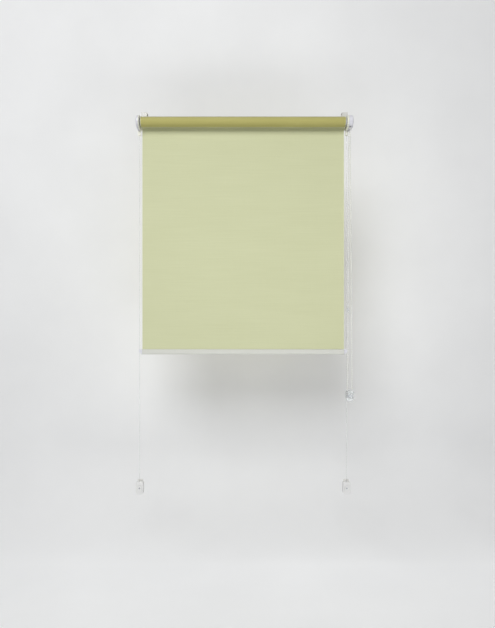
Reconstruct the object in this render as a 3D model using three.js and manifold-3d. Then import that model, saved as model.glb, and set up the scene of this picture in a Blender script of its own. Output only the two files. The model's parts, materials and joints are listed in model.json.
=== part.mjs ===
// Clip-on roller blind for one window sash, in millimetres with +Z up and the room on the -Y side.
// The origin is the middle of the sash's top edge, on the sash face. Distances called reach are
// measured from the sash face towards the room, so a reach of r lies at Y = -r. Distances called
// drop are measured down from the top edge, so a drop of d lies at Z = -d.
import * as THREE from "three";
import { mergeVertices } from "three/addons/utils/BufferGeometryUtils.js";
import Module from "manifold-3d";

const wasm = await Module();
wasm.setup();

// Driving sizes of the whole blind
const fabricWidth = 700;
const fabricThickness = 0.5;
const sashHeight = 1326;
const sashLip = 18;
const rollDrop = 45.5;
const rollReach = 31;
const railDrop = 826.5;
const seat = 0.3;
const overrun = 1;

// Roller tube and winding
const tubeRadius = 14;
const tubeWall = 1;
const windingDepth = 4.2;
const layerEase = 0.1;

// Side brackets and their covers
const endGap = 5;
const cheekThickness = 3;
const cheekRadius = 22.5;
const cheekCorner = 4;
const shellWall = 1.6;
const coverRound = 4;
const idleCoverDepth = 7;
const driveRimDepth = 3;
const driveCoverDepth = 14.2;
const flangeThickness = 2.6;
const flangeReachInward = 16;
const flangeTopDrop = 25.5;
const flangeHeight = 38;
const flangeCorner = 3;

// Clip-over hooks, their pads and screws
const hookSheet = 1.5;
const hookBend = 1;
const hookLipDrop = 12;
const hookFlare = 1.2;
const hookFlareLength = 3;
const hookStripWidth = 20;
const hookPlateWidth = 29;
const hookPlateHeight = 50;
const hookShoulderDrop = 14;
const padThickness = 0.8;
const padMargin = 1.5;
const screwRadius = 1.5;
const screwHole = 1.8;
const screwHeadRadius = 3;
const screwHeadHeight = 1.1;

// Guide lines and the tabs that they hang from
const lineRadius = 0.5;
const lineOffset = 4.2;
const idleTabWidth = 10.6;
const driveTabWidth = 7.8;
const tabDepth = 7;
const tabDrop = 86;
const tabBlockHeight = 15;
const tabFloor = 5;
const tabCorner = 1.5;
const tabBore = 1;
const stopRadius = 2;
const stopHeight = 5;

// Sprung pin in the idle end of the tube
const plugFlange = 1.9;
const plugLength = 32;
const journalRadius = 3;
const journalReach = 6;
const pistonRadius = 4.2;
const pistonLength = 6.7;
const mouthDepth = 3.3;
const socketWall = 1.3;
const socketRadius = 6;
const springCap = 2;
const pinSpringWire = 0.4;
const pinSpringTurns = 5;

// Bead chain drive
const beadPitch = 6;
const beadRadius = 2.25;
const cordRadius = 0.5;
const chainBeadCount = 324;
const connectorPitches = 3;
const connectorRadius = 2.9;
const connectorPlaceShare = 0.32;
const sprocketPockets = 10;
const sprocketWidth = 7;
const sprocketRimRise = 1.6;
const sprocketHubRadius = 9;
const grooveFloorWidth = 2;
const rimEdge = 0.6;
const pocketRadius = 2.75;
const spindleRadius = 5;
const spindleCollar = 8;
const clutchWire = 0.6;
const clutchTurns = 6;
const clutchPitchGap = 0.5;
const exitWidth = 6.6;

// Chain tensioner on the sash
const wheelPockets = 8;
const wheelWidth = 6.2;
const wheelRimRise = 1.3;
const wheelPost = 2.8;
const holderWidth = 28;
const holderHeight = 38.6;
const holderOffset = 22.3;
const holderPlate = 1.6;
const holderCover = 1.2;
const holderRound = 0.7;
const holderTopCorner = 9;
const windowWidth = 5.6;
const windowHeight = 15;
const windowOffset = 8;

// Bottom rail, its caps and what is in it
const railHeight = 18;
const railDepth = 9;
const railCorner = 3;
const railWall = 1.5;
const railLip = 1.2;
const railSlot = 1.5;
const channelHeight = 3.2;
const rodRadius = 2.6;
const capFlange = 4.2;
const capRound = 1.5;
const capPeg = 9;
const earHeight = 12;
const earWall = 1.8;
const earSetback = 0.5;
const earFlare = 0.6;

// Line tensioners on the sash's lower edge
const clipWidth = 26;
const clipHeight = 42;
const clipBelow = 3;
const clipDepth = 15.7;
const clipCorner = 7;
const clipRound = 2.5;
const clipHookWidth = 16;
const clipPlateWidth = 20;
const clipPlateHeight = 36;
const clipShoulder = 8;
const knobRadius = 8.5;
const spoolRadius = 4;
const spoolWidth = 3.6;
const spoolFlange = 2;
const knobHead = 4.4;
const knobDish = 5.4;
const knobDishDepth = 1.3;
const knobFluteDepth = 0.45;
const knobFlutes = 12;

// Counts of facets
const roundSides = 32;
const knobSides = 20;
const smallSides = 12;
const cordSides = 8;
const beadSides = 5;
const cornerSteps = 4;
const arcSteps = 18;
const domeSteps = 3;
const coilSteps = 8;
const pocketSides = 6;
const pocketRings = 4;

// Places worked out from the sizes
const rollRadius = tubeRadius + windingDepth;
const cheekInner = fabricWidth / 2 + endGap;
const cheekOuter = cheekInner + cheekThickness;
const lineX = cheekInner + lineOffset;
const panelReach = rollReach - rollRadius + fabricThickness / 2;
const hookBack = padThickness + seat;
const hookFront = hookBack + hookSheet;
const flangeBack = hookFront + seat;
const flangeFront = flangeBack + flangeThickness;
const sprocketRadius = (sprocketPockets * beadPitch) / (2 * Math.PI);
const wheelRadius = (wheelPockets * beadPitch) / (2 * Math.PI);
const driveCoverInner = cheekOuter + driveRimDepth + seat;
const sprocketInner = driveCoverInner + rimEdge;
const chainX = sprocketInner + sprocketWidth / 2;
const sprocketOuter = sprocketInner + sprocketWidth;
const driveCoverOuter = driveCoverInner + driveCoverDepth;
const holderX = fabricWidth / 2 + holderOffset;
const wheelBack = holderPlate + seat;
const chainReach = wheelBack + wheelWidth / 2;
const holderRim = wheelBack + wheelWidth;
const plugFace = fabricWidth / 2 + seat;
const plugFlangeEnd = plugFace + plugFlange;
const plugRadius = tubeRadius - tubeWall - seat;
const plugInner = fabricWidth / 2 - plugLength;

const axes = {
  x: new THREE.Vector3(1, 0, 0),
  y: new THREE.Vector3(0, 1, 0),
  z: new THREE.Vector3(0, 0, 1),
};
const towardsRoom = axes.y.clone().negate();
const down = axes.z.clone().negate();

// A prism's outline is drawn in these planes and pushed along the named direction.
const prismBases = {
  right: [axes.y, axes.z, axes.x],
  room: [axes.x, axes.z, towardsRoom],
  up: [axes.x, axes.y, axes.z],
};
// A turned piece's own axis is laid along the named direction.
const turnedBases = {
  right: [axes.y, axes.x, down],
  room: [axes.x, towardsRoom, down],
  up: [axes.x, axes.z, towardsRoom],
};

function laid(geometry, basis) {
  return geometry.applyMatrix4(new THREE.Matrix4().makeBasis(...basis));
}

// A closed geometry as a solid that can be joined and cut
function solidOf(geometry) {
  const loose = geometry.index ? geometry.toNonIndexed() : geometry;
  const bare = new THREE.BufferGeometry();
  bare.setAttribute("position", loose.getAttribute("position"));
  const merged = mergeVertices(bare);
  const corners = [];
  for (let i = 0; i < merged.index.count; i += 3) {
    const [a, b, c] = [0, 1, 2].map((k) => merged.index.getX(i + k));
    if (a !== b && b !== c && c !== a) corners.push(a, b, c);
  }
  const vertProperties = merged.attributes.position.array;
  const build = (order) => {
    const triVerts = new Uint32Array(order);
    return new wasm.Manifold(new wasm.Mesh({ numProp: 3, vertProperties, triVerts }));
  };
  const made = build(corners);
  return made.volume() < 0 ? build(corners.reverse()) : made;
}

function geometryOf(solid) {
  const mesh = solid.getMesh();
  const geometry = new THREE.BufferGeometry();
  const points = new Float32Array(mesh.numVert * 3);
  for (let i = 0; i < mesh.numVert; i++) {
    points.set(mesh.vertProperties.subarray(i * mesh.numProp, i * mesh.numProp + 3), i * 3);
  }
  geometry.setAttribute("position", new THREE.BufferAttribute(points, 3));
  geometry.setIndex(new THREE.BufferAttribute(mesh.triVerts, 1));
  geometry.computeVertexNormals();
  return geometry;
}

const joined = (first, ...rest) => rest.reduce((sum, next) => sum.add(next), first);
const cut = (first, ...rest) => rest.reduce((left, next) => left.subtract(next), first);

const point = (x, y) => new THREE.Vector2(x, y);

function arcPoints(x, y, radius, from, to, steps) {
  return Array.from({ length: steps + 1 }, (_, i) => {
    const angle = from + ((to - from) * i) / steps;
    return point(x + radius * Math.cos(angle), y + radius * Math.sin(angle));
  });
}

// A polygon whose corners [x, y, radius] are rounded by tangent arcs
function roundedOutline(corners, steps = cornerSteps) {
  return corners.flatMap(([x, y, radius = 0], i) => {
    if (!radius) return [point(x, y)];
    const here = point(x, y);
    const [bx, by] = corners[(i + corners.length - 1) % corners.length];
    const [ax, ay] = corners[(i + 1) % corners.length];
    const back = point(bx, by).sub(here).normalize();
    const ahead = point(ax, ay).sub(here).normalize();
    const half = Math.acos(THREE.MathUtils.clamp(back.dot(ahead), -1, 1)) / 2;
    const middle = back.clone().add(ahead).normalize();
    const centre = here.clone().addScaledVector(middle, radius / Math.sin(half));
    const start = here.clone().addScaledVector(back, radius / Math.tan(half)).sub(centre);
    const end = here.clone().addScaledVector(ahead, radius / Math.tan(half)).sub(centre);
    const from = start.angle();
    let sweep = end.angle() - from;
    if (sweep > Math.PI) sweep -= 2 * Math.PI;
    if (sweep < -Math.PI) sweep += 2 * Math.PI;
    return arcPoints(centre.x, centre.y, radius, from, from + sweep, steps);
  });
}

function roundedRect(x, y, width, height, radius, steps = cornerSteps) {
  const [w, h] = [width / 2, height / 2];
  const corners = [[x + w, y + h], [x - w, y + h], [x - w, y - h], [x + w, y - h]];
  return roundedOutline(corners.map((corner) => [...corner, radius]), steps);
}

// An outline pushed from one distance to another along right, room or up
function prism(outline, direction, from, to, holes = []) {
  const shape = new THREE.Shape(outline);
  shape.holes = holes.map((hole) => new THREE.Path(hole));
  const geometry = new THREE.ExtrudeGeometry(shape, { depth: to - from, bevelEnabled: false });
  return solidOf(laid(geometry.translate(0, 0, from), prismBases[direction]));
}

// A profile of [distance along the axis, radius] pairs turned round an axis through a place
function turned(profile, direction, place, sides = roundSides) {
  const points = profile.map(([along, radius]) => point(radius, along));
  const geometry = laid(new THREE.LatheGeometry(points, sides), turnedBases[direction]);
  return solidOf(geometry.translate(...place));
}

// A plain round bar, or the hole for one
function bar(from, to, radius, direction, place, sides = smallSides) {
  return turned([[from, 0], [from, radius], [to, radius], [to, 0]], direction, place, sides);
}

// Rings of equal counts of points joined into one closed skin, whose end faces follow the rings' order
function skin(rings, ends) {
  const count = rings[0].length;
  const faces = [];
  rings.slice(1).forEach((_, r) => {
    for (let i = 0; i < count; i++) {
      const [a, b] = [r * count + i, r * count + ((i + 1) % count)];
      faces.push(a, b, b + count, a, b + count, a + count);
    }
  });
  const last = (rings.length - 1) * count;
  ends.forEach(([a, b, c]) => faces.push(a, c, b, last + a, last + b, last + c));
  const geometry = new THREE.BufferGeometry().setFromPoints(rings.flat());
  return solidOf(geometry.setIndex(faces));
}

const fan = (count) => Array.from({ length: count - 2 }, (_, i) => [0, i + 1, i + 2]);

function flatEnd(outline) {
  const turn = Math.sign(THREE.ShapeUtils.area(outline));
  return THREE.ShapeUtils.triangulateShape(outline, []).map((face) => {
    const same = Math.sign(THREE.ShapeUtils.area(face.map((k) => outline[k]))) === turn;
    return same ? face : face.reverse();
  });
}

// A shell's outside: an outline pushed along a direction, with its far edge rounded
function domed(outline, direction, from, to, round) {
  const [u, v, w] = prismBases[direction];
  const ring = (inset, along) =>
    outline(inset).map((p) =>
      new THREE.Vector3().addScaledVector(u, p.x).addScaledVector(v, p.y).addScaledVector(w, along),
    );
  const rings = [ring(0, from)];
  for (let i = 0; i <= domeSteps; i++) {
    const angle = (Math.PI / 2) * (i / domeSteps);
    rings.push(ring(round * (1 - Math.cos(angle)), to - round + round * Math.sin(angle)));
  }
  return skin(rings, flatEnd(outline(0)));
}

// Outline of a bracket cheek and of its cover, in (Y, Z): round at the front about the roll's axis,
// with a straight underside that falls away to the flat back
function cheekOutline(inset, back = flangeBack) {
  const radius = cheekRadius - inset;
  const leave = THREE.MathUtils.degToRad(265);
  const front = arcPoints(-rollReach, -rollDrop, radius, Math.PI / 2, leave, arcSteps);
  const last = front[front.length - 1];
  const rear = -(back + inset);
  const underside = last.y - (rear - last.x) / Math.tan(leave - Math.PI);
  const corner = Math.max(cheekCorner - inset, cheekCorner / 4);
  const rearCorners = [[rear, underside, corner], [rear, radius - rollDrop, corner]];
  return roundedOutline([...front.map((p) => [p.x, p.y]), ...rearCorners]);
}

// Sash hook of bent sheet: front plate, strip over the sash edge and rear lip with a flared end.
// The strip's seat lies at Z = 0 and the plate hangs below it.
function hook(width, plate, back, holeX, holeDrop) {
  const front = back + hookSheet;
  const lipEnd = sashLip + hookSheet;
  const bend = hookBend + hookSheet;
  const profile = roundedOutline([
    [-front, -plate.shoulder - plate.corner - hookSheet],
    [-front, hookSheet, bend],
    [lipEnd, hookSheet, bend],
    [lipEnd, hookFlareLength - hookLipDrop],
    [lipEnd + hookFlare, -hookLipDrop],
    [sashLip + hookFlare, -hookLipDrop],
    [sashLip, hookFlareLength - hookLipDrop],
    [sashLip, 0, hookBend],
    [-back, 0, hookBend],
    [-back, -plate.shoulder - plate.corner - hookSheet],
  ]);
  const strip = prism(profile, "right", plate.stripX - width / 2, plate.stripX + width / 2);
  const middle = -plate.shoulder - plate.height / 2;
  const outline = roundedRect(plate.x, middle, plate.width, plate.height, plate.corner);
  const sheet = prism(outline, "room", back, front);
  const hole = bar(back - overrun, front + overrun, screwHole, "room", [holeX, 0, -holeDrop]);
  return cut(joined(strip, sheet), hole);
}

const plateOuter = cheekInner + idleTabWidth;
const hookPlate = {
  x: plateOuter - hookPlateWidth / 2,
  width: hookPlateWidth,
  height: hookPlateHeight,
  shoulder: hookShoulderDrop,
  corner: flangeCorner,
};
const flangeInner = cheekInner - flangeReachInward;
const screwX = (flangeInner + cheekInner) / 2;
const screwDrop = flangeTopDrop + flangeHeight / 2;

// One pressing serves both ends, so its strip stands at the plate's right-hand edge at each of them
function topHook(side) {
  const fromInner = side === "left" ? hookStripWidth / 2 : hookPlateWidth - hookStripWidth / 2;
  const stripX = plateOuter - hookPlateWidth + fromInner;
  return hook(hookStripWidth, { ...hookPlate, stripX }, hookBack, screwX, screwDrop);
}

function hookPad() {
  const middle = -hookPlate.shoulder - hookPlate.height / 2;
  const width = hookPlate.width - 2 * padMargin;
  const height = hookPlate.height - 2 * padMargin;
  const outline = roundedRect(hookPlate.x, middle, width, height, hookPlate.corner);
  return prism(outline, "room", 0, padThickness);
}

function hookScrew() {
  const headFrom = flangeFront + seat;
  const profile = [
    [hookBack, 0],
    [hookBack, screwRadius],
    [headFrom, screwRadius],
    [headFrom, screwHeadRadius],
    [headFrom + screwHeadHeight / 2, screwHeadRadius],
    [headFrom + screwHeadHeight, screwHeadRadius / 2],
    [headFrom + screwHeadHeight, 0],
  ];
  return turned(profile, "room", [screwX, 0, -screwDrop], smallSides);
}

// Flange behind the roll that the hook screw holds
function bracketFlange() {
  const width = cheekOuter - flangeInner;
  const x = (cheekOuter + flangeInner) / 2;
  const outline = roundedRect(x, -screwDrop, width, flangeHeight, flangeCorner);
  const sheet = prism(outline, "room", flangeBack, flangeFront);
  const hole = [screwX, 0, -screwDrop];
  return cut(sheet, bar(flangeBack - overrun, flangeFront + overrun, screwHole, "room", hole));
}

// Leg below the cheek with a bored block that the guide line hangs from
function lineTab(width) {
  const legTop = -rollDrop - cheekRadius / 2;
  const leg = prism(
    roundedRect(-panelReach, (legTop - tabDrop) / 2, tabDepth, legTop + tabDrop, tabCorner),
    "right",
    cheekInner,
    cheekOuter,
  );
  const plan = roundedRect(cheekInner + width / 2, -panelReach, width, tabDepth, tabCorner);
  const blockTop = tabBlockHeight - tabDrop;
  const block = prism(plan, "up", -tabDrop, blockTop);
  const axis = [lineX, -panelReach, 0];
  const pocket = bar(tabFloor - tabDrop, blockTop + overrun, stopRadius + seat, "up", axis);
  const bore = bar(-tabDrop - overrun, blockTop, tabBore, "up", axis);
  return cut(joined(leg, block), pocket, bore);
}

const rollAxis = [0, -rollReach, -rollDrop];

function idleBracket() {
  const plate = prism(cheekOutline(0), "right", cheekInner, cheekOuter);
  const tip = cheekInner + journalReach;
  const boss = bar(cheekInner, tip + seat + socketWall, socketRadius, "right", rollAxis, roundSides);
  const socket = bar(cheekInner - overrun, tip + seat, journalRadius + seat, "right", rollAxis);
  return cut(joined(plate, bracketFlange(), boss, lineTab(idleTabWidth)), socket);
}

function idleCover() {
  const from = cheekOuter + seat;
  const to = from + idleCoverDepth;
  const outside = domed(cheekOutline, "right", from, to, coverRound);
  const inside = prism(cheekOutline(shellWall), "right", from - overrun, to - shellWall);
  return cut(outside, inside);
}

function driveBracket() {
  const rimEnd = cheekOuter + driveRimDepth;
  const plate = prism(cheekOutline(0), "right", cheekInner, rimEnd);
  const inside = prism(cheekOutline(shellWall), "right", cheekOuter, rimEnd + overrun);
  const hole = sprocketHubRadius + seat;
  const bore = bar(cheekInner - overrun, rimEnd, hole, "right", rollAxis, roundSides);
  return joined(cut(plate, inside, bore), bracketFlange(), lineTab(driveTabWidth));
}

function driveCover() {
  const outside = domed(cheekOutline, "right", driveCoverInner, driveCoverOuter, coverRound);
  const inside = cheekOutline(shellWall);
  const hollow = prism(inside, "right", driveCoverInner - overrun, driveCoverOuter - shellWall);
  const exitTo = chainX + exitWidth / 2;
  const exits = [1, -1].map((side) => {
    const y = side * sprocketRadius - rollReach;
    const z = -rollDrop - cheekRadius;
    const slot = roundedRect(y, z, exitWidth, cheekRadius, cheekCorner / 2);
    return prism(slot, "right", driveCoverInner - overrun, exitTo);
  });
  return cut(outside, hollow, ...exits);
}

// Fixed spindle of the chain drive, standing on the inside of the drive cover
function driveSpindle() {
  const root = driveCoverOuter - shellWall - seat;
  const profile = [
    [plugInner + seat, 0],
    [plugInner + seat, spindleRadius - coverRound / 4],
    [plugInner + coverRound / 4 + seat, spindleRadius],
    [sprocketOuter + seat, spindleRadius],
    [sprocketOuter + seat, spindleCollar],
    [root, spindleCollar],
    [root, 0],
  ];
  return turned(profile, "right", rollAxis);
}

// Grooved wheel with one round pocket for each bead. The pitch circle lies at the beads' centres.
function beadWheel(pitchRadius, width, rise, bore, pockets, phase, direction, place) {
  const rim = pitchRadius + rise;
  const floor = pitchRadius - beadRadius;
  const halfWidth = width / 2;
  const profile = [
    [-halfWidth, bore],
    [-halfWidth, rim],
    [rimEdge - halfWidth, rim],
    [-grooveFloorWidth / 2, floor],
    [grooveFloorWidth / 2, floor],
    [halfWidth - rimEdge, rim],
    [halfWidth, rim],
    [halfWidth, bore],
    [-halfWidth, bore],
  ];
  const body = turned(profile, direction, place, 2 * pockets);
  const [u, v] = direction === "right" ? [axes.y, axes.z] : [axes.x, axes.z];
  const cups = Array.from({ length: pockets }, (_, i) => {
    const angle = phase + (2 * Math.PI * i) / pockets;
    const ball = new THREE.SphereGeometry(pocketRadius, pocketSides, pocketRings);
    ball.translate(...place);
    ball.translate(...u.clone().multiplyScalar(pitchRadius * Math.cos(angle)).toArray());
    ball.translate(...v.clone().multiplyScalar(pitchRadius * Math.sin(angle)).toArray());
    return solidOf(ball);
  });
  return cut(body, ...cups);
}

function driveSprocket() {
  const phase = Math.PI / 2;
  const place = [chainX, -rollReach, -rollDrop];
  const rise = sprocketRimRise;
  const bore = spindleRadius + seat;
  const wheel = beadWheel(
    sprocketRadius, sprocketWidth, rise, bore, sprocketPockets, phase, "right", place,
  );
  const hub = turned(
    [
      [plugFlangeEnd + seat, bore],
      [plugFlangeEnd + seat, sprocketHubRadius],
      [sprocketInner, sprocketHubRadius],
      [sprocketInner + rimEdge, sprocketHubRadius - rise],
      [sprocketInner + rimEdge, bore],
      [plugFlangeEnd + seat, bore],
    ],
    "right",
    rollAxis,
  );
  return joined(wheel, hub);
}

function tubePlug(bore, mouth) {
  const profile = [
    [plugInner, bore],
    [plugInner, plugRadius],
    [plugFace, plugRadius],
    [plugFace, tubeRadius],
    [plugFlangeEnd, tubeRadius],
    [plugFlangeEnd, mouth],
    [plugFlangeEnd - mouthDepth, mouth],
    [plugFlangeEnd - mouthDepth, bore],
    [plugInner, bore],
  ];
  return turned(profile, "right", rollAxis);
}

// Helical wire round the roll's axis, as one closed tube
function helix(wire, radius, from, to, turns) {
  const steps = turns * coilSteps;
  const [, y, z] = rollAxis;
  const rings = Array.from({ length: steps + 1 }, (_, i) => {
    const angle = (2 * Math.PI * i) / coilSteps;
    const x = from + wire + ((to - from - 2 * wire) * i) / steps;
    return Array.from({ length: beadSides }, (_, k) => {
      const around = (2 * Math.PI * k) / beadSides;
      const r = radius + wire * Math.cos(around);
      return new THREE.Vector3(
        x + wire * Math.sin(around),
        y + r * Math.cos(angle),
        z + r * Math.sin(angle),
      );
    });
  });
  return skin(rings, fan(beadSides));
}

const clutchRadius = spindleRadius + seat + clutchWire;
const clutchPitch = 2 * clutchWire + clutchPitchGap;
const clutchStart = plugInner + plugLength / 3;

function clutchSpring() {
  const end = clutchStart + 2 * clutchWire + clutchTurns * clutchPitch;
  return helix(clutchWire, clutchRadius, clutchStart, end, clutchTurns);
}

const clutchBore = clutchRadius + clutchWire + seat;
const pinBore = pistonRadius + seat;
const pistonFront = plugFlangeEnd - mouthDepth - seat;
const pistonBack = pistonFront - pistonLength;
const capFront = plugInner + springCap;

function idlePin() {
  const tip = cheekInner + journalReach;
  const nose = journalRadius / 3;
  const profile = [
    [pistonBack, 0],
    [pistonBack, pistonRadius],
    [pistonFront, pistonRadius],
    [pistonFront, journalRadius],
    [tip - nose, journalRadius],
    [tip, journalRadius - nose],
    [tip, 0],
  ];
  return turned(profile, "right", rollAxis);
}

function idleSpring() {
  const radius = pistonRadius - pinSpringWire;
  return helix(pinSpringWire, radius, capFront + seat, pistonBack - seat, pinSpringTurns);
}

function springCapDisc() {
  return bar(plugInner, capFront, pistonRadius, "right", rollAxis);
}

function rollerTube() {
  const half = fabricWidth / 2;
  const inner = tubeRadius - tubeWall;
  const profile = [[-half, inner], [-half, tubeRadius], [half, tubeRadius], [half, inner]];
  return turned([...profile, profile[0]], "right", rollAxis);
}

// Wound fabric: a plain core whose outermost layer winds in by one thickness in a turn and ends
// in a step at the back of the roll, where the hanging fabric leaves
function fabricRoll() {
  const turnsIn = fabricThickness + layerEase;
  const sides = 2 * roundSides;
  const outline = Array.from({ length: sides + 1 }, (_, i) => {
    const angle = (2 * Math.PI * i) / sides;
    const radius = rollRadius - (turnsIn * i) / sides;
    return point(radius * Math.cos(angle) - rollReach, radius * Math.sin(angle) - rollDrop);
  });
  const bore = arcPoints(-rollReach, -rollDrop, tubeRadius + seat, 0, 2 * Math.PI, roundSides);
  return prism(outline, "right", -fabricWidth / 2, fabricWidth / 2, [bore.slice(1)]);
}

const railMiddle = railDrop + railHeight / 2;
const channelTop = railDrop + railLip;
const channelFloor = channelTop + channelHeight;
const channelWidth = railDepth - 2 * railWall;

function fabricPanel() {
  const top = rollDrop + seat;
  const height = channelTop - top;
  const sheet = new THREE.BoxGeometry(fabricWidth, fabricThickness, height);
  return solidOf(sheet.translate(0, -panelReach, -top - height / 2));
}

function hemStrip() {
  const width = channelWidth - 2 * seat;
  const height = channelHeight - 2 * seat;
  const middle = channelTop + channelHeight / 2;
  const outline = roundedRect(-panelReach, -middle, width, height, height / 3, 2);
  return prism(outline, "right", seat - fabricWidth / 2, fabricWidth / 2 - seat);
}

function railOutline(inset) {
  const width = railDepth - 2 * inset;
  const height = railHeight - 2 * inset;
  return roundedRect(-panelReach, -railMiddle, width, height, railCorner - inset);
}

// Hollow extruded rail: slot and channel for the hem above, chamber for the weight below
function bottomRail() {
  const half = fabricWidth / 2;
  const body = prism(railOutline(0), "right", -half, half);
  const slotMiddle = -railDrop;
  const slot = roundedRect(-panelReach, slotMiddle, railSlot, 2 * railLip + seat, 0);
  const channelMiddle = -(channelTop + channelFloor) / 2;
  const channel = roundedRect(-panelReach, channelMiddle, channelWidth, channelHeight, 0);
  const over = half + overrun;
  const open = [slot, channel, chamberOutline(0)].map((hole) => prism(hole, "right", -over, over));
  return cut(body, ...open);
}

function chamberOutline(inset) {
  const top = channelFloor + railLip + inset;
  const bottom = railDrop + railHeight - railWall - inset;
  const width = channelWidth - 2 * inset;
  return roundedRect(-panelReach, -(top + bottom) / 2, width, bottom - top, railWall / 2, 2);
}

function weightRod() {
  const half = fabricWidth / 2 - capPeg - seat;
  const z = -(railDrop + railHeight - railWall - seat - rodRadius);
  return bar(-half, half, rodRadius, "right", [0, -panelReach, z]);
}

// End cap of the rail: rounded flange, peg into the chamber and an eyelet round the guide line
function railCap() {
  const face = fabricWidth / 2 + seat;
  const flange = domed(railOutline, "right", face, face + capFlange, capRound);
  const peg = prism(chamberOutline(seat), "right", fabricWidth / 2 - capPeg, face + capFlange / 2);
  const earRadius = tabBore + earWall;
  const earTop = -railDrop - earSetback;
  const earStart = face + capFlange / 2;
  const plan = [
    point(earStart, -panelReach - earRadius),
    ...arcPoints(lineX, -panelReach, earRadius, -Math.PI / 2, Math.PI / 2, 2 * cornerSteps),
    point(earStart, -panelReach + earRadius),
  ];
  const ear = prism(plan, "up", earTop - earHeight, earTop);
  const wide = tabBore + earFlare;
  const eye = [
    [earTop - earHeight - overrun, 0],
    [earTop - earHeight - overrun, wide],
    [earTop - earHeight, wide],
    [earTop - earHeight + earFlare, tabBore],
    [earTop - earFlare, tabBore],
    [earTop, wide],
    [earTop + overrun, wide],
    [earTop + overrun, 0],
  ];
  const hole = turned(eye, "up", [lineX, -panelReach, 0], smallSides);
  return cut(joined(flange, peg, ear), hole);
}

const knobDrop = sashHeight + clipBelow - clipHeight / 2;
const lineTop = tabFloor - tabDrop;
const lineBottom = spoolRadius + seat - knobDrop;

function guideLine() {
  return bar(lineBottom, lineTop, lineRadius, "up", [lineX, -panelReach, 0], cordSides);
}

function lineStop() {
  const from = lineTop + seat;
  const profile = [
    [from, 0],
    [from, stopRadius],
    [from + stopHeight - stopRadius / 2, stopRadius],
    [from + stopHeight, stopRadius / 2],
    [from + stopHeight, 0],
  ];
  return turned(profile, "up", [lineX, -panelReach, 0], smallSides);
}

// The lower clip's hook is the same bent sheet, turned over to reach under the sash.
function lowerHook() {
  const plate = {
    x: lineX,
    stripX: lineX,
    width: clipPlateWidth,
    height: clipPlateHeight,
    shoulder: clipShoulder,
    corner: flangeCorner,
  };
  return hook(clipHookWidth, plate, 0, lineX, sashHeight - knobDrop);
}

const clipBack = hookSheet + seat;
const clipFront = clipBack + clipDepth;
const spoolBack = panelReach - spoolWidth / 2;
const spoolFront = panelReach + spoolWidth / 2;
const knobBack = spoolBack - spoolFlange;
const knobFront = spoolFront + knobHead;
const knobAxis = [lineX, 0, -knobDrop];

// Moulded body of the line tensioner with a round well for the knob
function lineClip() {
  const outline = (inset) => {
    const [width, height] = [clipWidth - 2 * inset, clipHeight - 2 * inset];
    return roundedRect(lineX, -knobDrop, width, height, clipCorner - inset);
  };
  const body = domed(outline, "room", clipBack, clipFront, clipRound);
  const well = bar(knobBack - seat, clipFront + overrun, knobRadius + seat, "room", knobAxis, roundSides);
  const screw = bar(clipBack - overrun, knobBack, screwHole, "room", knobAxis);
  const top = clipHeight / 2 - knobDrop + overrun;
  const channel = bar(-knobDrop, top, tabBore, "up", [lineX, -panelReach, 0]);
  return cut(body, well, screw, channel);
}

// Knob and spool in one: two flanges with the line's drum between them and a fluted head
function lineKnob() {
  const drum = turned(
    [
      [knobBack, 0],
      [knobBack, knobRadius],
      [spoolBack, knobRadius],
      [spoolBack, spoolRadius],
      [spoolFront + overrun, spoolRadius],
      [spoolFront + overrun, 0],
    ],
    "room",
    knobAxis,
    knobSides,
  );
  const flutes = Array.from({ length: 2 * knobFlutes }, (_, i) => {
    const radius = knobRadius - (i % 2) * knobFluteDepth;
    const angle = (Math.PI * i) / knobFlutes;
    return point(lineX + radius * Math.cos(angle), radius * Math.sin(angle) - knobDrop);
  });
  const head = prism(flutes, "room", spoolFront, knobFront);
  const dish = bar(knobFront - knobDishDepth, knobFront + overrun, knobDish, "room", knobAxis);
  const bore = bar(knobBack - overrun, knobFront, screwHole, "room", knobAxis);
  return cut(joined(drum, head), dish, bore);
}

function knobScrew() {
  const headFrom = knobFront - knobDishDepth + seat;
  const profile = [
    [hookSheet / 2, 0],
    [hookSheet / 2, screwRadius],
    [headFrom, screwRadius],
    [headFrom, screwHeadRadius],
    [headFrom + screwHeadHeight / 2, screwHeadRadius],
    [headFrom + screwHeadHeight, screwHeadRadius / 2],
    [headFrom + screwHeadHeight, 0],
  ];
  return turned(profile, "room", knobAxis, smallSides);
}

// Route of the bead chain. Its loop lies across the sash on the sprocket and along the sash on the
// tensioner's wheel, so the two straight strands twist by a quarter turn on their way down.
const sprocketCentre = new THREE.Vector3(chainX, -rollReach, -rollDrop);
const frontOff = sprocketCentre.clone().addScaledVector(towardsRoom, sprocketRadius);
const rearOff = sprocketCentre.clone().addScaledVector(axes.y, sprocketRadius);

function wheelCentreAt(drop) {
  return new THREE.Vector3(holderX, -chainReach, -drop);
}

function loopLength(drop) {
  const centre = wheelCentreAt(drop);
  const right = centre.clone().addScaledVector(axes.x, wheelRadius);
  const left = centre.clone().addScaledVector(axes.x, -wheelRadius);
  const strands = frontOff.distanceTo(right) + rearOff.distanceTo(left);
  return strands + Math.PI * (sprocketRadius + wheelRadius);
}

// The wheel's drop is where a loop of a whole number of beads comes taut.
function tautDrop() {
  const length = chainBeadCount * beadPitch;
  let [low, high] = [rollDrop, length];
  for (let i = 0; i < 60; i++) {
    const middle = (low + high) / 2;
    if (loopLength(middle) < length) low = middle;
    else high = middle;
  }
  return low;
}

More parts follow.
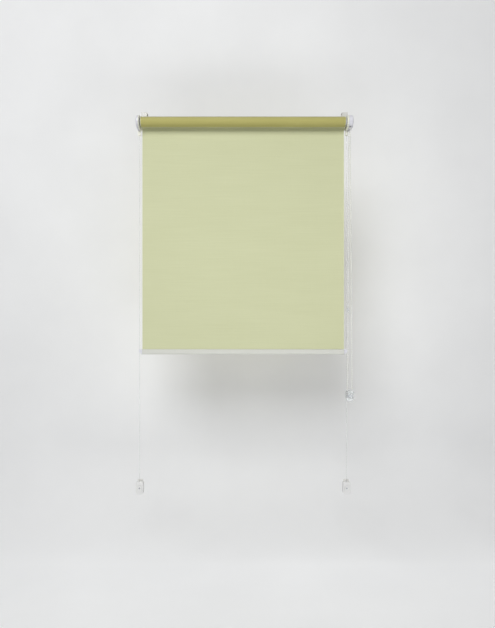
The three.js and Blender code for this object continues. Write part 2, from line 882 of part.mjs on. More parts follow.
const wheelDrop = tautDrop();
const wheelCentre = wheelCentreAt(wheelDrop);
const wheelRight = wheelCentre.clone().addScaledVector(axes.x, wheelRadius);
const wheelLeft = wheelCentre.clone().addScaledVector(axes.x, -wheelRadius);
const sprocketQuarter = (Math.PI / 2) * sprocketRadius;
const wheelHalf = Math.PI * wheelRadius;
const frontStrand = frontOff.distanceTo(wheelRight);
const rearStrand = rearOff.distanceTo(wheelLeft);

// Point of the loop at a distance from the sprocket's top, running down the front strand first
function chainPoint(distance) {
  let s = distance;
  if (s < sprocketQuarter) return onSprocket(Math.PI / 2 + s / sprocketRadius);
  s -= sprocketQuarter;
  if (s < frontStrand) return frontOff.clone().lerp(wheelRight, s / frontStrand);
  s -= frontStrand;
  if (s < wheelHalf) return onWheel(-s / wheelRadius);
  s -= wheelHalf;
  if (s < rearStrand) return wheelLeft.clone().lerp(rearOff, s / rearStrand);
  return onSprocket((s - rearStrand) / sprocketRadius);
}

function onSprocket(angle) {
  const arm = axes.y.clone().multiplyScalar(Math.cos(angle)).addScaledVector(axes.z, Math.sin(angle));
  return sprocketCentre.clone().addScaledVector(arm, sprocketRadius);
}

function onWheel(angle) {
  const arm = axes.x.clone().multiplyScalar(Math.cos(angle)).addScaledVector(axes.z, Math.sin(angle));
  return wheelCentre.clone().addScaledVector(arm, wheelRadius);
}

const loop = chainBeadCount * beadPitch;
const aroundLoop = (distance) => chainPoint(((distance % loop) + loop) % loop);
const rearStart = sprocketQuarter + frontStrand + wheelHalf;
const connectorBead = Math.round((rearStart + connectorPlaceShare * rearStrand) / beadPitch);
const connectorAt = connectorBead * beadPitch;

// Beads and cord as one skin: a ring at each bead's middle and one at each neck between beads
function beadChain() {
  const halfPitch = beadPitch / 2;
  const start = connectorAt + (connectorPitches * beadPitch) / 2;
  const steps = 2 * (chainBeadCount - connectorPitches);
  const side = new THREE.Vector3().copy(axes.x);
  const rings = Array.from({ length: steps + 1 }, (_, i) => {
    const s = start + i * halfPitch;
    const centre = aroundLoop(s);
    const ahead = aroundLoop(s + halfPitch).sub(aroundLoop(s - halfPitch)).normalize();
    side.addScaledVector(ahead, -side.dot(ahead)).normalize();
    const other = ahead.clone().cross(side);
    const radius = i % 2 ? beadRadius : cordRadius;
    return Array.from({ length: beadSides }, (_, k) => {
      const angle = (2 * Math.PI * k) / beadSides;
      return centre
        .clone()
        .addScaledVector(side, radius * Math.cos(angle))
        .addScaledVector(other, radius * Math.sin(angle));
    });
  });
  return skin(rings, fan(beadSides));
}

// Clip that closes the chain: a slim barrel over two beads, laid along the rear strand
function chainConnector() {
  const half = (connectorPitches * beadPitch) / 2 - seat;
  const profile = [
    [-half, 0],
    [-half, connectorRadius / 2],
    [-half + connectorRadius / 2, connectorRadius],
    [-connectorRadius / 2, connectorRadius],
    [0, connectorRadius - cordRadius],
    [connectorRadius / 2, connectorRadius],
    [half - connectorRadius / 2, connectorRadius],
    [half, connectorRadius / 2],
    [half, 0],
  ];
  return turned(profile, "up", [0, 0, 0], smallSides);
}

function holderOutline(inset) {
  const low = Math.min(holderWidth / 2, holderHeight / 2) - inset;
  const top = holderTopCorner - inset;
  const [w, h] = [holderWidth / 2 - inset, holderHeight / 2 - inset];
  const x = holderX;
  const z = -wheelDrop;
  const corners = [
    [x + w, z + h, top],
    [x - w, z + h, top],
    [x - w, z - h, low],
    [x + w, z - h, low],
  ];
  return roundedOutline(corners, 2 * cornerSteps);
}

const holderAxis = [holderX, 0, -wheelDrop];

// Back half of the chain tensioner: plate, rim and the post that the wheel turns on
function holderBase() {
  const block = prism(holderOutline(0), "room", 0, holderRim);
  const hollow = prism(holderOutline(shellWall), "room", holderPlate, holderRim + overrun);
  const post = bar(holderPlate / 2, holderRim, wheelPost, "room", holderAxis);
  const hole = bar(holderPlate, holderRim + overrun, screwHole - seat / 2, "room", holderAxis);
  const mouths = [1, -1].map((side) => {
    const x = holderX + side * wheelRadius;
    const slot = roundedRect(x, holderHeight / 2 - wheelDrop, exitWidth, holderHeight / 2, 0);
    return prism(slot, "room", holderPlate, holderRim + overrun);
  });
  return cut(joined(cut(block, hollow, ...mouths), post), hole);
}

// Front half with a tall window over each strand of the chain
function holderCoverPlate() {
  const from = holderRim + seat;
  const to = from + holderCover;
  const plate = domed(holderOutline, "room", from, to, holderRound);
  const windows = [1, -1].map((side) => {
    const x = holderX + side * windowOffset;
    const outline = roundedRect(x, -wheelDrop, windowWidth, windowHeight, windowWidth / 2 - seat);
    return prism(outline, "room", from - overrun, to + overrun);
  });
  const hole = bar(from - overrun, to + overrun, screwHole - seat / 2, "room", holderAxis);
  return cut(plate, ...windows, hole);
}

function holderScrew() {
  const headFrom = holderRim + seat + holderCover + seat;
  const radius = screwRadius - seat / 2;
  const profile = [
    [holderPlate + seat, 0],
    [holderPlate + seat, radius],
    [headFrom, radius],
    [headFrom, screwHeadRadius],
    [headFrom + screwHeadHeight, screwHeadRadius / 2],
    [headFrom + screwHeadHeight, 0],
  ];
  return turned(profile, "room", holderAxis, smallSides);
}

// Wheel at the bottom of the loop, turned so that its pockets meet the beads
function holderWheel() {
  const bottom = sprocketQuarter + frontStrand + wheelHalf / 2;
  const offset = Math.ceil(bottom / beadPitch) * beadPitch - bottom;
  const phase = -Math.PI / 2 - offset / wheelRadius;
  const place = [holderX, -chainReach, -wheelDrop];
  const bore = wheelPost + seat;
  return beadWheel(
    wheelRadius, wheelWidth - seat, wheelRimRise, bore, wheelPockets, phase, "room", place,
  );
}

// Finishes
function finish(colour, roughness, metalness = 0) {
  return new THREE.MeshStandardMaterial({ color: colour, roughness, metalness });
}
const finishes = {
  cream: finish("#e8e8dc", 0.45),
  white: finish("#dedee2", 0.4),
  clear: finish("#d9dcdc", 0.25),
  fabric: finish("#cfd3b0", 0.85),
  coreFabric: finish("#b7b290", 0.9),
  railPaint: finish("#cdcec6", 0.35, 0.2),
  tube: finish("#b4b6b8", 0.4, 0.9),
  steel: finish("#a9acb0", 0.35, 1),
  foam: finish("#c8c8c4", 0.95),
  drive: finish("#c9ccd0", 0.5),
  beads: finish("#ecece8", 0.35),
};

function piece(name, solid, material) {
  const mesh = new THREE.Mesh(geometryOf(solid), finishes[material]);
  mesh.name = name;
  return mesh;
}

const group = (...members) => new THREE.Group().add(...members);

// Pieces drawn at the right-hand end, mirrored for the left-hand end
function atEnd(side, ...members) {
  const end = group(...members);
  end.scale.x = side === "left" ? -1 : 1;
  return end;
}

// Fixings and line hardware that both ends share
function endFixings(side) {
  const lower = group(piece(`tensioner_hook_${side}`, lowerHook(), "white"));
  lower.scale.z = -1;
  lower.position.z = -sashHeight;
  return atEnd(
    side,
    piece(`sash_hook_${side}`, topHook(side), "white"),
    piece(`hook_pad_${side}`, hookPad(), "foam"),
    piece(`hook_screw_${side}`, hookScrew(), "steel"),
    piece(`guide_line_${side}`, guideLine(), "clear"),
    piece(`line_stop_${side}`, lineStop(), "steel"),
    piece(`rail_cap_${side}`, railCap(), "white"),
    piece(`tensioner_body_${side}`, lineClip(), "white"),
    piece(`tensioner_knob_${side}`, lineKnob(), "white"),
    piece(`tensioner_screw_${side}`, knobScrew(), "steel"),
    lower,
  );
}

function idleEnd() {
  return atEnd(
    "left",
    piece("idle_bracket", idleBracket(), "cream"),
    piece("idle_cover", idleCover(), "white"),
    piece("idle_plug", tubePlug(pinBore, journalRadius + seat), "drive"),
    piece("idle_pin", idlePin(), "steel"),
    piece("idle_spring", idleSpring(), "steel"),
    piece("idle_spring_cap", springCapDisc(), "drive"),
  );
}

function driveEnd() {
  return atEnd(
    "right",
    piece("drive_bracket", driveBracket(), "cream"),
    piece("drive_cover", driveCover(), "white"),
    piece("drive_spindle", driveSpindle(), "drive"),
    piece("drive_sprocket", driveSprocket(), "drive"),
    piece("drive_plug", tubePlug(clutchBore, clutchBore), "drive"),
    piece("clutch_spring", clutchSpring(), "steel"),
  );
}

function connector() {
  const holder = group(piece("chain_connector", chainConnector(), "clear"));
  const along = rearOff.clone().sub(wheelLeft).normalize();
  holder.quaternion.setFromUnitVectors(axes.z, along);
  holder.position.copy(aroundLoop(connectorAt));
  return holder;
}

const blind = group(
  endFixings("left"),
  endFixings("right"),
  idleEnd(),
  driveEnd(),
  piece("roller_tube", rollerTube(), "tube"),
  piece("fabric_roll", fabricRoll(), "coreFabric"),
  piece("fabric_panel", fabricPanel(), "fabric"),
  piece("hem_strip", hemStrip(), "clear"),
  piece("bottom_rail", bottomRail(), "railPaint"),
  piece("weight_rod", weightRod(), "steel"),
  piece("bead_chain", beadChain(), "beads"),
  connector(),
  piece("chain_tensioner_base", holderBase(), "clear"),
  piece("chain_tensioner_cover", holderCoverPlate(), "clear"),
  piece("chain_tensioner_wheel", holderWheel(), "drive"),
  piece("chain_tensioner_screw", holderScrew(), "steel"),
);

export default blind;
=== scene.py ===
import json
import math

import bmesh
import bpy
from mathutils import Matrix, Vector


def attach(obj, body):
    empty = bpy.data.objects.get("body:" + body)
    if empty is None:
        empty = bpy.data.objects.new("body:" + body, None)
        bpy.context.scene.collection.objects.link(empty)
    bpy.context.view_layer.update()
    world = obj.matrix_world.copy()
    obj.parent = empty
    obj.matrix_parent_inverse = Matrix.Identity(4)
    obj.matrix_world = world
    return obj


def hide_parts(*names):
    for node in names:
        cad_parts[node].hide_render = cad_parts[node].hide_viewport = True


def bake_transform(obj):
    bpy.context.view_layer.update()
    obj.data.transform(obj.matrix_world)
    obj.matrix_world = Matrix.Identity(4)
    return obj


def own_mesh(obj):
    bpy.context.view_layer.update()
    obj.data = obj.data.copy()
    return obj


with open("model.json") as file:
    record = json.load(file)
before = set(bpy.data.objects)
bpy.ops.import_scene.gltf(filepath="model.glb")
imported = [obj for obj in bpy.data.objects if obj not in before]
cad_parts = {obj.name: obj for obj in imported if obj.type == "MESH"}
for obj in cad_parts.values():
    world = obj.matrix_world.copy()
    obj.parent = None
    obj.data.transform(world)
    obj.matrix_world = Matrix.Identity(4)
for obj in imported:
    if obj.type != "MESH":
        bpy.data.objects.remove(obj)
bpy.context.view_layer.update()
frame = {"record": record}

MM = 0.001

# Places in millimetres, as the CAD has them. Reach is the distance in front of the sash face and
# drop the distance below its top edge. SEAT is the gap between two pieces that sit together.
SEAT = 0.3
HALF = 350.0
ROLL_REACH, ROLL_DROP, ROLL_RADIUS = 31.0, 45.5, 18.2
TUBE_RADIUS, TUBE_WALL = 14.0, 1
CLOTH = 0.5
PANEL_REACH = ROLL_REACH - ROLL_RADIUS + CLOTH / 2
RAIL_DROP, RAIL_HEIGHT, RAIL_DEPTH, RAIL_CORNER = 826.5, 18.0, 9.0, 3
LINE_X, LINE_RADIUS = 359.2, 0.5
LINE_TOP, LINE_BOTTOM = -81.0, -1303.7
BEADS, PITCH, BEAD_RADIUS, CORD_RADIUS = 324, 6.0, 2.25, 0.55
SPROCKET_POCKETS, WHEEL_POCKETS = 10, 8
SPROCKET = Vector((365.4, -ROLL_REACH, -ROLL_DROP))
SPROCKET_RADIUS = SPROCKET_POCKETS * PITCH / (2 * math.pi)
WHEEL = Vector((372.3, -5.0, -990.038))
WHEEL_RADIUS = WHEEL_POCKETS * PITCH / (2 * math.pi)

# Degrees from which an edge is drawn sharp: on sheets, on hardware and on thin round pieces
SHEET_SHARP, EDGE_SHARP, ROUND_SHARP = 35, 40, 60

# Camera, in metres: level, square to the sash, a little right of its middle
CAMERA_PLACE = (0.015, -1.709, -0.7046)
LENS, SENSOR_WIDTH, VIEW_DEPTH = 28, 36, 50

view = bpy.data.cameras.new("camera")
view.lens = LENS
view.sensor_width = SENSOR_WIDTH
view.clip_end = VIEW_DEPTH
camera = bpy.data.objects.new("camera", view)
bpy.context.collection.objects.link(camera)
camera.location = CAMERA_PLACE
camera.rotation_euler = (math.radians(90), 0, 0)
bpy.context.scene.camera = camera

# Mesh helpers. An outline in (u, v) is drawn out along w; right is away from the blind's middle and
# room is towards the viewer.
X_AXIS, Y_AXIS, Z_AXIS = Matrix.Identity(3)
BASES = {
    "right": (Y_AXIS, Z_AXIS, X_AXIS),
    "room": (X_AXIS, Z_AXIS, -Y_AXIS),
    "up": (X_AXIS, Y_AXIS, Z_AXIS),
}
SIDES = ((-1, "left"), (1, "right"))
ON_ROLL = ("right", (0, -ROLL_REACH, -ROLL_DROP))
ON_LINE = ("up", (LINE_X, -PANEL_REACH, 0))


def circle(count):
    return [2 * math.pi * i / count for i in range(count)]


def quarter(steps):
    return [math.pi / 2 * i / steps for i in range(steps + 1)]


# The point at an angle round an axis, as a function of (distance along it, radius, angle)
def round_axis(direction, place):
    u, v, w = BASES[direction]
    place = Vector(place)
    return lambda along, radius, a: (
        place + w * along + u * (radius * math.cos(a)) + v * (radius * math.sin(a))
    )


def turned_rings(profile, direction, place, sides):
    point = round_axis(direction, place)
    return [[point(along, radius, a) for a in circle(sides)] for along, radius in profile]


def mesh_object(name, points, faces, scale=MM):
    mesh = bpy.data.meshes.new(name)
    mesh.from_pydata([Vector(p) * scale for p in points], [], faces)
    mesh.validate()
    mesh.update()
    obj = bpy.data.objects.new(name, mesh)
    bpy.context.collection.objects.link(obj)
    smooth(obj, SHEET_SHARP)
    return obj


def smooth(obj, sharp):
    obj.data.shade_smooth()
    obj.data.set_sharp_from_angle(angle=math.radians(sharp))


# Rings of equal counts of points as a closed skin, with flat ends unless it closes on itself
def skin(name, rings, closed=False, sharp=SHEET_SHARP):
    count = len(rings[0])
    faces = []
    steps = len(rings) if closed else len(rings) - 1
    for r in range(steps):
        low, high = r * count, ((r + 1) % len(rings)) * count
        for i in range(count):
            j = (i + 1) % count
            faces.append((low + i, low + j, high + j, high + i))
    if not closed:
        faces.append(tuple(reversed(range(count))))
        last = (len(rings) - 1) * count
        faces.append(tuple(last + i for i in range(count)))
    obj = mesh_object(name, [p for ring in rings for p in ring], faces)
    smooth(obj, sharp)
    outward(obj)
    return obj


def outward(obj):
    work = bmesh.new()
    work.from_mesh(obj.data)
    bmesh.ops.recalc_face_normals(work, faces=work.faces)
    work.to_mesh(obj.data)
    work.free()


# Bead chain: the same route as the CAD's, from the sprocket's top down the front strand first
FRONT, REAR = (SPROCKET + Y_AXIS * r for r in (-SPROCKET_RADIUS, SPROCKET_RADIUS))
LEFT, RIGHT = (WHEEL + X_AXIS * r for r in (-WHEEL_RADIUS, WHEEL_RADIUS))
QUARTER = math.pi / 2 * SPROCKET_RADIUS
HALF_WHEEL = math.pi * WHEEL_RADIUS
FRONT_RUN = (FRONT - RIGHT).length
REAR_RUN = (REAR - LEFT).length
LOOP = BEADS * PITCH


def on_sprocket(angle):
    return SPROCKET + SPROCKET_RADIUS * Vector((0, math.cos(angle), math.sin(angle)))


def chain_point(distance):
    s = distance % LOOP
    if s < QUARTER:
        return on_sprocket(math.pi / 2 + s / SPROCKET_RADIUS)
    s -= QUARTER
    if s < FRONT_RUN:
        return FRONT.lerp(RIGHT, s / FRONT_RUN)
    s -= FRONT_RUN
    if s < HALF_WHEEL:
        angle = -s / WHEEL_RADIUS
        return WHEEL + WHEEL_RADIUS * Vector((math.cos(angle), 0, math.sin(angle)))
    s -= HALF_WHEEL
    if s < REAR_RUN:
        return LEFT.lerp(REAR, s / REAR_RUN)
    return on_sprocket((s - REAR_RUN) / SPROCKET_RADIUS)


# The connector stands a third up the rear strand and takes the place of three pitches.
CONNECTOR_PITCHES, CONNECTOR_SHARE = 3, 0.32
REAR_START = QUARTER + FRONT_RUN + HALF_WHEEL
CONNECTOR_AT = PITCH * round((REAR_START + CONNECTOR_SHARE * REAR_RUN) / PITCH)


# Profile of one pitch of chain as (share of the pitch, radius): a neck of cord, then a round bead
def bead_profile(steps=9):
    profile = [(0.0, CORD_RADIUS), (0.5 - BEAD_RADIUS / PITCH, CORD_RADIUS)]
    for i in range(1, steps):
        angle = math.pi * i / steps
        radius = BEAD_RADIUS * math.sin(angle)
        if radius > CORD_RADIUS:
            profile.append((0.5 - BEAD_RADIUS / PITCH * math.cos(angle), radius))
    profile.append((0.5 + BEAD_RADIUS / PITCH, CORD_RADIUS))
    return profile


def make_chain(sides=12, look=2):
    start = CONNECTOR_AT + CONNECTOR_PITCHES / 2 * PITCH
    count = BEADS - CONNECTOR_PITCHES
    length = count * PITCH
    profile = bead_profile()
    spots = [((k + share) * PITCH, radius) for k in range(count) for share, radius in profile]
    spots.append((length, CORD_RADIUS))
    rings = []
    side = X_AXIS
    for along, radius in spots:
        s = start + along
        centre = chain_point(s)
        ahead = (chain_point(s + look) - chain_point(s - look)).normalized()
        side = (side - ahead * side.dot(ahead)).normalized()
        other = ahead.cross(side)
        rings.append([
            centre + radius * (side * math.cos(a) + other * math.sin(a)) for a in circle(sides)
        ])
    chain = skin("bead_chain_beads", rings, sharp=ROUND_SHARP)
    steps = 2 * count
    path = [chain_point(start + length * i / steps) * MM for i in range(steps + 1)]
    return chain, path


chain, chain_path = make_chain()
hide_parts("bead_chain")
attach(chain, "mounting")


# Guide lines of nylon, held taut from the bracket's tab down to the lower clip
def make_line(side, name, steps=40, sides=16):
    x = side * LINE_X
    levels = [LINE_TOP + (LINE_BOTTOM - LINE_TOP) * k / steps for k in range(steps + 1)]
    rings = turned_rings([(z, LINE_RADIUS) for z in levels], "up", (x, -PANEL_REACH, 0), sides)
    line = skin(f"nylon_line_{name}", rings, sharp=ROUND_SHARP)
    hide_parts(f"guide_line_{name}")
    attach(line, "mounting")
    return line


lines = [make_line(side, name) for side, name in SIDES]


# Hanging cloth: it covers the roll as its last turn, which winds in a little, leaves it at the back
# and hangs straight into the rail's slot. Its levels stand near the ends of the straight part only,
# so that part stays taut and unfolded wherever the rail is.
LAST_TURN, TURN_ROWS = 0.98 * 2 * math.pi, 94
TURN_INWARD = 1.2 * CLOTH / LAST_TURN
HANG_START, HANG_END = -(ROLL_DROP + ROLL_RADIUS), -RAIL_DROP
SLOT_END = HANG_END - 1.2
EASE = 0.015
HANG_LEVELS = (0, 0.005, 0.01, EASE, 1 - EASE, 0.99, 0.995, 1)
WAVE_DEPTH, WAVE_ANGLE, WAVE_START = 0.16, 5.1, 0.7
FACE_SIDE, BACK_SIDE, WOUND_SIDE = 0, 1, 2


# Places the cloth passes, as (y, z, outward y, outward z, how far the slight waves have grown)
def cloth_course():
    course = []
    for i in range(TURN_ROWS + 1):
        angle = LAST_TURN * (1 - i / TURN_ROWS)
        radius = ROLL_RADIUS - CLOTH / 2 - TURN_INWARD * angle
        y, z = math.cos(angle), math.sin(angle)
        course.append((radius * y - ROLL_REACH, radius * z - ROLL_DROP, y, z, 0))
    for t in HANG_LEVELS:
        z = HANG_START + (HANG_END - HANG_START) * t
        course.append((-PANEL_REACH, z, 1, 0, min(1, t / EASE, (1 - t) / EASE)))
    course.append((-PANEL_REACH, SLOT_END, 1, 0, 0))
    return course


# The panel, and for each of its faces the material slot that it takes
def make_panel(columns=56):
    course = cloth_course()
    rows = len(course) - 1
    points, faces, sides = [], [], []
    for layer in (-1, 1):
        for y, z, out_y, out_z, ease in course:
            for c in range(columns + 1):
                x = -HALF + 2 * HALF * c / columns
                wave = WAVE_DEPTH * ease * math.cos(x / HALF * WAVE_ANGLE + WAVE_START)
                off = layer * CLOTH / 2 + wave
                points.append((x, y + off * out_y, z + off * out_z))
    width = columns + 1
    back = width * (rows + 1)
    for r in range(rows):
        for c in range(columns):
            a = r * width + c
            faces.append((a, a + 1, a + width + 1, a + width))
            sides.append(FACE_SIDE)
            faces.append((back + a, back + a + width, back + a + width + 1, back + a + 1))
            sides.append(WOUND_SIDE if r < TURN_ROWS else BACK_SIDE)
    rim = list(range(width))
    rim += [r * width + columns for r in range(1, rows + 1)]
    rim += [rows * width + c for c in range(columns - 1, -1, -1)]
    rim += [r * width for r in range(rows - 1, 0, -1)]
    for i, a in enumerate(rim):
        b = rim[(i + 1) % len(rim)]
        faces.append((b, a, back + a, back + b))
        sides.append(FACE_SIDE)
    panel = mesh_object("hanging_cloth", points, faces)
    outward(panel)
    return panel, sides


panel, panel_sides = make_panel()
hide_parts("fabric_panel")
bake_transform(panel)


# Wound cloth under the last turn, with the edges of its layers showing at the ends
def make_roll(sides=96, layers=7, lengths=24, step=0.12):
    outside, bore = ROLL_RADIUS - 2.3 * CLOTH, TUBE_RADIUS + SEAT
    spots = [(-HALF + step * (k % 2), 1 - k / layers) for k in range(layers)]
    spots += [(-HALF + 2 * HALF * k / lengths, 0) for k in range(lengths + 1)]
    spots += [(HALF - step * (k % 2), k / layers) for k in range(1, layers + 1)]
    profile = [(x, outside + (bore - outside) * share) for x, share in spots]
    rings = turned_rings(profile, *ON_ROLL, sides)
    return skin("wound_cloth", rings, closed=True, sharp=EDGE_SHARP)


roll = make_roll()
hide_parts("fabric_roll")
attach(roll, "roller")


# Materials. Lengths and noise scales are in metres and per metre.
def srgb(r, g, b):
    def one(v):
        v /= 255
        return v / 12.92 if v <= 0.04045 else ((v + 0.055) / 1.055) ** 2.4
    return (one(r), one(g), one(b), 1.0)


# The nodes of a material or the world, and the shader that they feed
class Nodes:
    def __init__(self, owner, shader="Principled BSDF"):
        owner.use_nodes = True
        self.owner, self.tree = owner, owner.node_tree
        self.shader = self.tree.nodes[shader]

    @property
    def place(self):
        return self.add("ShaderNodeTexCoord").outputs["Object"]

    def add(self, kind, **values):
        node = self.tree.nodes.new(kind)
        for key, value in values.items():
            setattr(node, key, value)
        return node

    def put(self, socket, value):
        if isinstance(value, (int, float, tuple)):
            socket.default_value = value
        else:
            self.tree.links.new(value, socket)

    def set(self, socket, value):
        self.put(self.shader.inputs[socket], value)

    # Feeds a node's first inputs in order and others by name
    def fill(self, node, *values, **named):
        for socket, value in zip(node.inputs, values):
            self.put(socket, value)
        for name, value in named.items():
            self.put(node.inputs[name], value)
        return node.outputs

    def math(self, operation, a, b=0.0):
        return self.fill(self.add("ShaderNodeMath", operation=operation), a, b)[0]

    def noise(self, scale, detail=3.0, rough=0.5, stretch=None):
        place = self.place
        if stretch:
            place = self.fill(self.add("ShaderNodeMapping"), Scale=stretch, Vector=place)[0]
        node = self.add("ShaderNodeTexNoise")
        return self.fill(node, Scale=scale, Detail=detail, Roughness=rough, Vector=place)["Fac"]

    def ramp(self, value, stops):
        node = self.add("ShaderNodeValToRGB")
        elements = node.color_ramp.elements
        while len(elements) < len(stops):
            elements.new(0.5)
        for element, (at, colour) in zip(elements, stops):
            element.position = at
            element.color = colour
        return self.fill(node, value)["Color"]

    def span(self, value, low, high, to_low, to_high):
        node = self.add("ShaderNodeMapRange", clamp=True)
        return self.fill(node, value, low, high, to_low, to_high)[0]

    def blend(self, factor, a, b):
        node = self.add("ShaderNodeMix", data_type="RGBA")
        for socket, value in ((0, factor), (6, a), (7, b)):
            self.put(node.inputs[socket], value)
        return node.outputs[2]

    def bump(self, height, distance, strength):
        node = self.add("ShaderNodeBump")
        self.set("Normal", self.fill(node, Distance=distance, Strength=strength, Height=height)[0])

    def split(self):
        return self.fill(self.add("ShaderNodeSeparateXYZ"), Vector=self.place)

    def pointed(self):
        return self.add("ShaderNodeNewGeometry").outputs["Pointiness"]


# Coated blackout cloth: a fine plain weave, faint slubs both ways, paler cut edges, and a sheen
# tinted cool blue as painted sky reflection
THREAD_PITCH = 0.00055
PALE_FROM, PALE_FULL = HALF * MM - 0.0022, HALF * MM - 0.0004


def cloth_material(name, wound, tones, sheen, rough):
    low, middle, high, edge_tone, deep_tone = tones
    n = Nodes(bpy.data.materials.new(name))
    x, y, z = n.split()
    if wound:
        dy = n.math("ADD", y, ROLL_REACH * MM)
        dz = n.math("ADD", z, ROLL_DROP * MM)
        along = n.math("MULTIPLY", n.math("ARCTAN2", dz, dy), ROLL_RADIUS * MM)
    else:
        along = z
    thread = 2 * math.pi / THREAD_PITCH
    warp = n.math("SINE", n.math("MULTIPLY", x, thread))
    weft = n.math("SINE", n.math("MULTIPLY", along, thread))
    weave = n.math("MULTIPLY", warp, weft)
    slub_down = n.noise(1.0, 4, 0.6, stretch=(900, 900, 14))
    slub_across = n.noise(1.0, 4, 0.6, stretch=(7, 60, 520))
    mottle = n.noise(1.0, 3, 0.55, stretch=(4, 8, 18))
    tone = n.math("ADD", n.math("MULTIPLY", slub_down, 0.2), n.math("MULTIPLY", slub_across, 0.55))
    tone = n.math("ADD", tone, n.math("MULTIPLY", mottle, 0.25))
    colour = n.ramp(tone, [(0.30, low), (0.50, middle), (0.70, high)])
    edge = n.span(n.math("ABSOLUTE", x), PALE_FROM, PALE_FULL, 0.0, 0.45)
    colour = n.blend(edge, colour, edge_tone)
    shade = n.span(weave, -1, 1, 0.0, 0.12)
    n.set("Base Color", n.blend(shade, colour, deep_tone))
    n.set("Roughness", n.span(tone, 0.3, 0.7, rough + 0.06, rough - 0.06))
    n.set("Specular IOR Level", 0.3)
    n.set("Sheen Weight", sheen)
    n.set("Sheen Roughness", 0.45)
    # Painted reflection: the sheen's cool blue tint stands in for bluish sky light, as the lamps
    # are white
    n.set("Sheen Tint", (0.86, 0.93, 1.0, 1.0))
    height = n.math("ADD", n.math("MULTIPLY", weave, 0.5), n.math("MULTIPLY", tone, 0.8))
    n.bump(height, 0.00008, 0.7)
    return n.owner


# Moulded plastic: fine spark-eroded grain, faint flow tone, edges polished a little by handling
def plastic_material(name, light, dark, rough=0.42, grain=1.0):
    n = Nodes(bpy.data.materials.new(name))
    cloud = n.noise(38, 4, 0.55)
    fine = n.noise(2600, 2, 0.6)
    edge = n.span(n.pointed(), 0.5, 0.6, 0.0, 0.35)
    n.set("Base Color", n.blend(edge, n.ramp(cloud, [(0.3, dark), (0.7, light)]), light))
    polish = n.math("MULTIPLY", edge, 0.25)
    wear = n.math("SUBTRACT", n.span(cloud, 0.3, 0.7, rough + 0.07, rough - 0.05), polish)
    n.set("Roughness", wear)
    n.bump(n.math("ADD", fine, n.math("MULTIPLY", cloud, 0.6)), 0.00004 * grain, 0.5)
    return n.owner


# Painted or plated metal: drawn lines along one axis under the finish
def metal_material(name, light, dark, rough, metallic, lines=(1, 400, 400), coat=0.0):
    n = Nodes(bpy.data.materials.new(name))
    drawn = n.noise(1.0, 3, 0.6, stretch=lines)
    cloud = n.noise(24, 4, 0.5)
    edge = n.span(n.pointed(), 0.51, 0.6, 0.0, 0.4)
    tone = n.math("ADD", n.math("MULTIPLY", drawn, 0.5), n.math("MULTIPLY", cloud, 0.5))
    n.set("Base Color", n.blend(edge, n.ramp(tone, [(0.3, dark), (0.7, light)]), light))
    n.set("Roughness", n.span(tone, 0.3, 0.7, rough + 0.08, rough - 0.05))
    n.set("Metallic", metallic)
    n.set("Coat Weight", coat)
    n.bump(tone, 0.00005, 0.4)
    return n.owner


def foam_material(name):
    n = Nodes(bpy.data.materials.new(name))
    cell = n.fill(n.add("ShaderNodeTexVoronoi"), Scale=1700, Vector=n.place)
    cloud = n.noise(60, 3)
    n.set("Base Color", n.ramp(cloud, [(0.3, srgb(186, 186, 180)), (0.7, srgb(206, 206, 200))]))
    n.set("Roughness", n.span(cloud, 0.3, 0.7, 0.98, 0.88))
    n.bump(cell["Distance"], 0.0002, 0.8)
    return n.owner


# Clear plastic: flow marks as long as the piece was drawn, a little haze in them
def clear_material(name, colour, transmission, rough, flow):
    n = Nodes(bpy.data.materials.new(name))
    streak = n.noise(1.0, 3, 0.5, stretch=flow)
    n.set("Base Color", n.ramp(streak, [(0.3, colour), (0.7, srgb(240, 242, 242))]))
    n.set("Roughness", n.span(streak, 0.3, 0.7, rough + 0.06, rough - 0.04))
    n.set("Transmission Weight", transmission)
    n.set("IOR", 1.5)
    n.bump(streak, 0.00003, 0.3)
    return n.owner


# The cloth hangs from the back of the roll, so the roll shows its reverse, a darker olive coat.
# Each side has three tones of thread, then those of its cut edge and of the gaps in its weave.
FACE = [srgb(*tone) for tone in (
    (204, 207, 168), (208, 211, 173), (212, 215, 178), (226, 228, 204), (176, 178, 132),
)]
REVERSE = [srgb(*tone) for tone in (
    (172, 166, 95), (180, 174, 103), (187, 181, 112), (206, 205, 164), (150, 142, 78),
)]

MATERIALS = {
    "bracket_plastic": plastic_material("cream_plastic", srgb(236, 236, 224), srgb(229, 229, 215)),
    "cover_plastic": plastic_material("cool_plastic", srgb(224, 224, 231), srgb(216, 216, 224),
                                      0.36),
    "drive_plastic": plastic_material("acetal", srgb(206, 209, 213), srgb(196, 199, 204), 0.34),
    "clear_plastic": clear_material("clear_plastic", srgb(226, 230, 230), 0.7, 0.14,
                                    (130, 130, 60)),
    "line_nylon": clear_material("nylon", srgb(222, 224, 224), 0.6, 0.16, (800, 800, 18)),
    "beads": plastic_material("bead_plastic", srgb(240, 240, 236), srgb(230, 230, 224), 0.28, 0.4),
    "fabric": cloth_material("cloth_face", False, FACE, 0.1, 0.84),
    "rail": metal_material("rail_paint", srgb(212, 213, 205), srgb(203, 204, 197), 0.34, 0.0,
                           coat=0.15),
    "tube": metal_material("tube_metal", srgb(190, 192, 194), srgb(168, 170, 173), 0.4, 1.0),
    "steel": metal_material("zinc_steel", srgb(192, 194, 197), srgb(160, 163, 168), 0.32, 1.0,
                            lines=(300, 300, 300)),
    "hook_sheet": metal_material("white_coat", srgb(228, 228, 224), srgb(220, 220, 215), 0.4, 0.0,
                                 lines=(500, 500, 500), coat=0.1),
    "foam": foam_material("foam"),
}
CLIP_WHITE = plastic_material("white_plastic", srgb(242, 242, 241), srgb(235, 235, 234), 0.38)
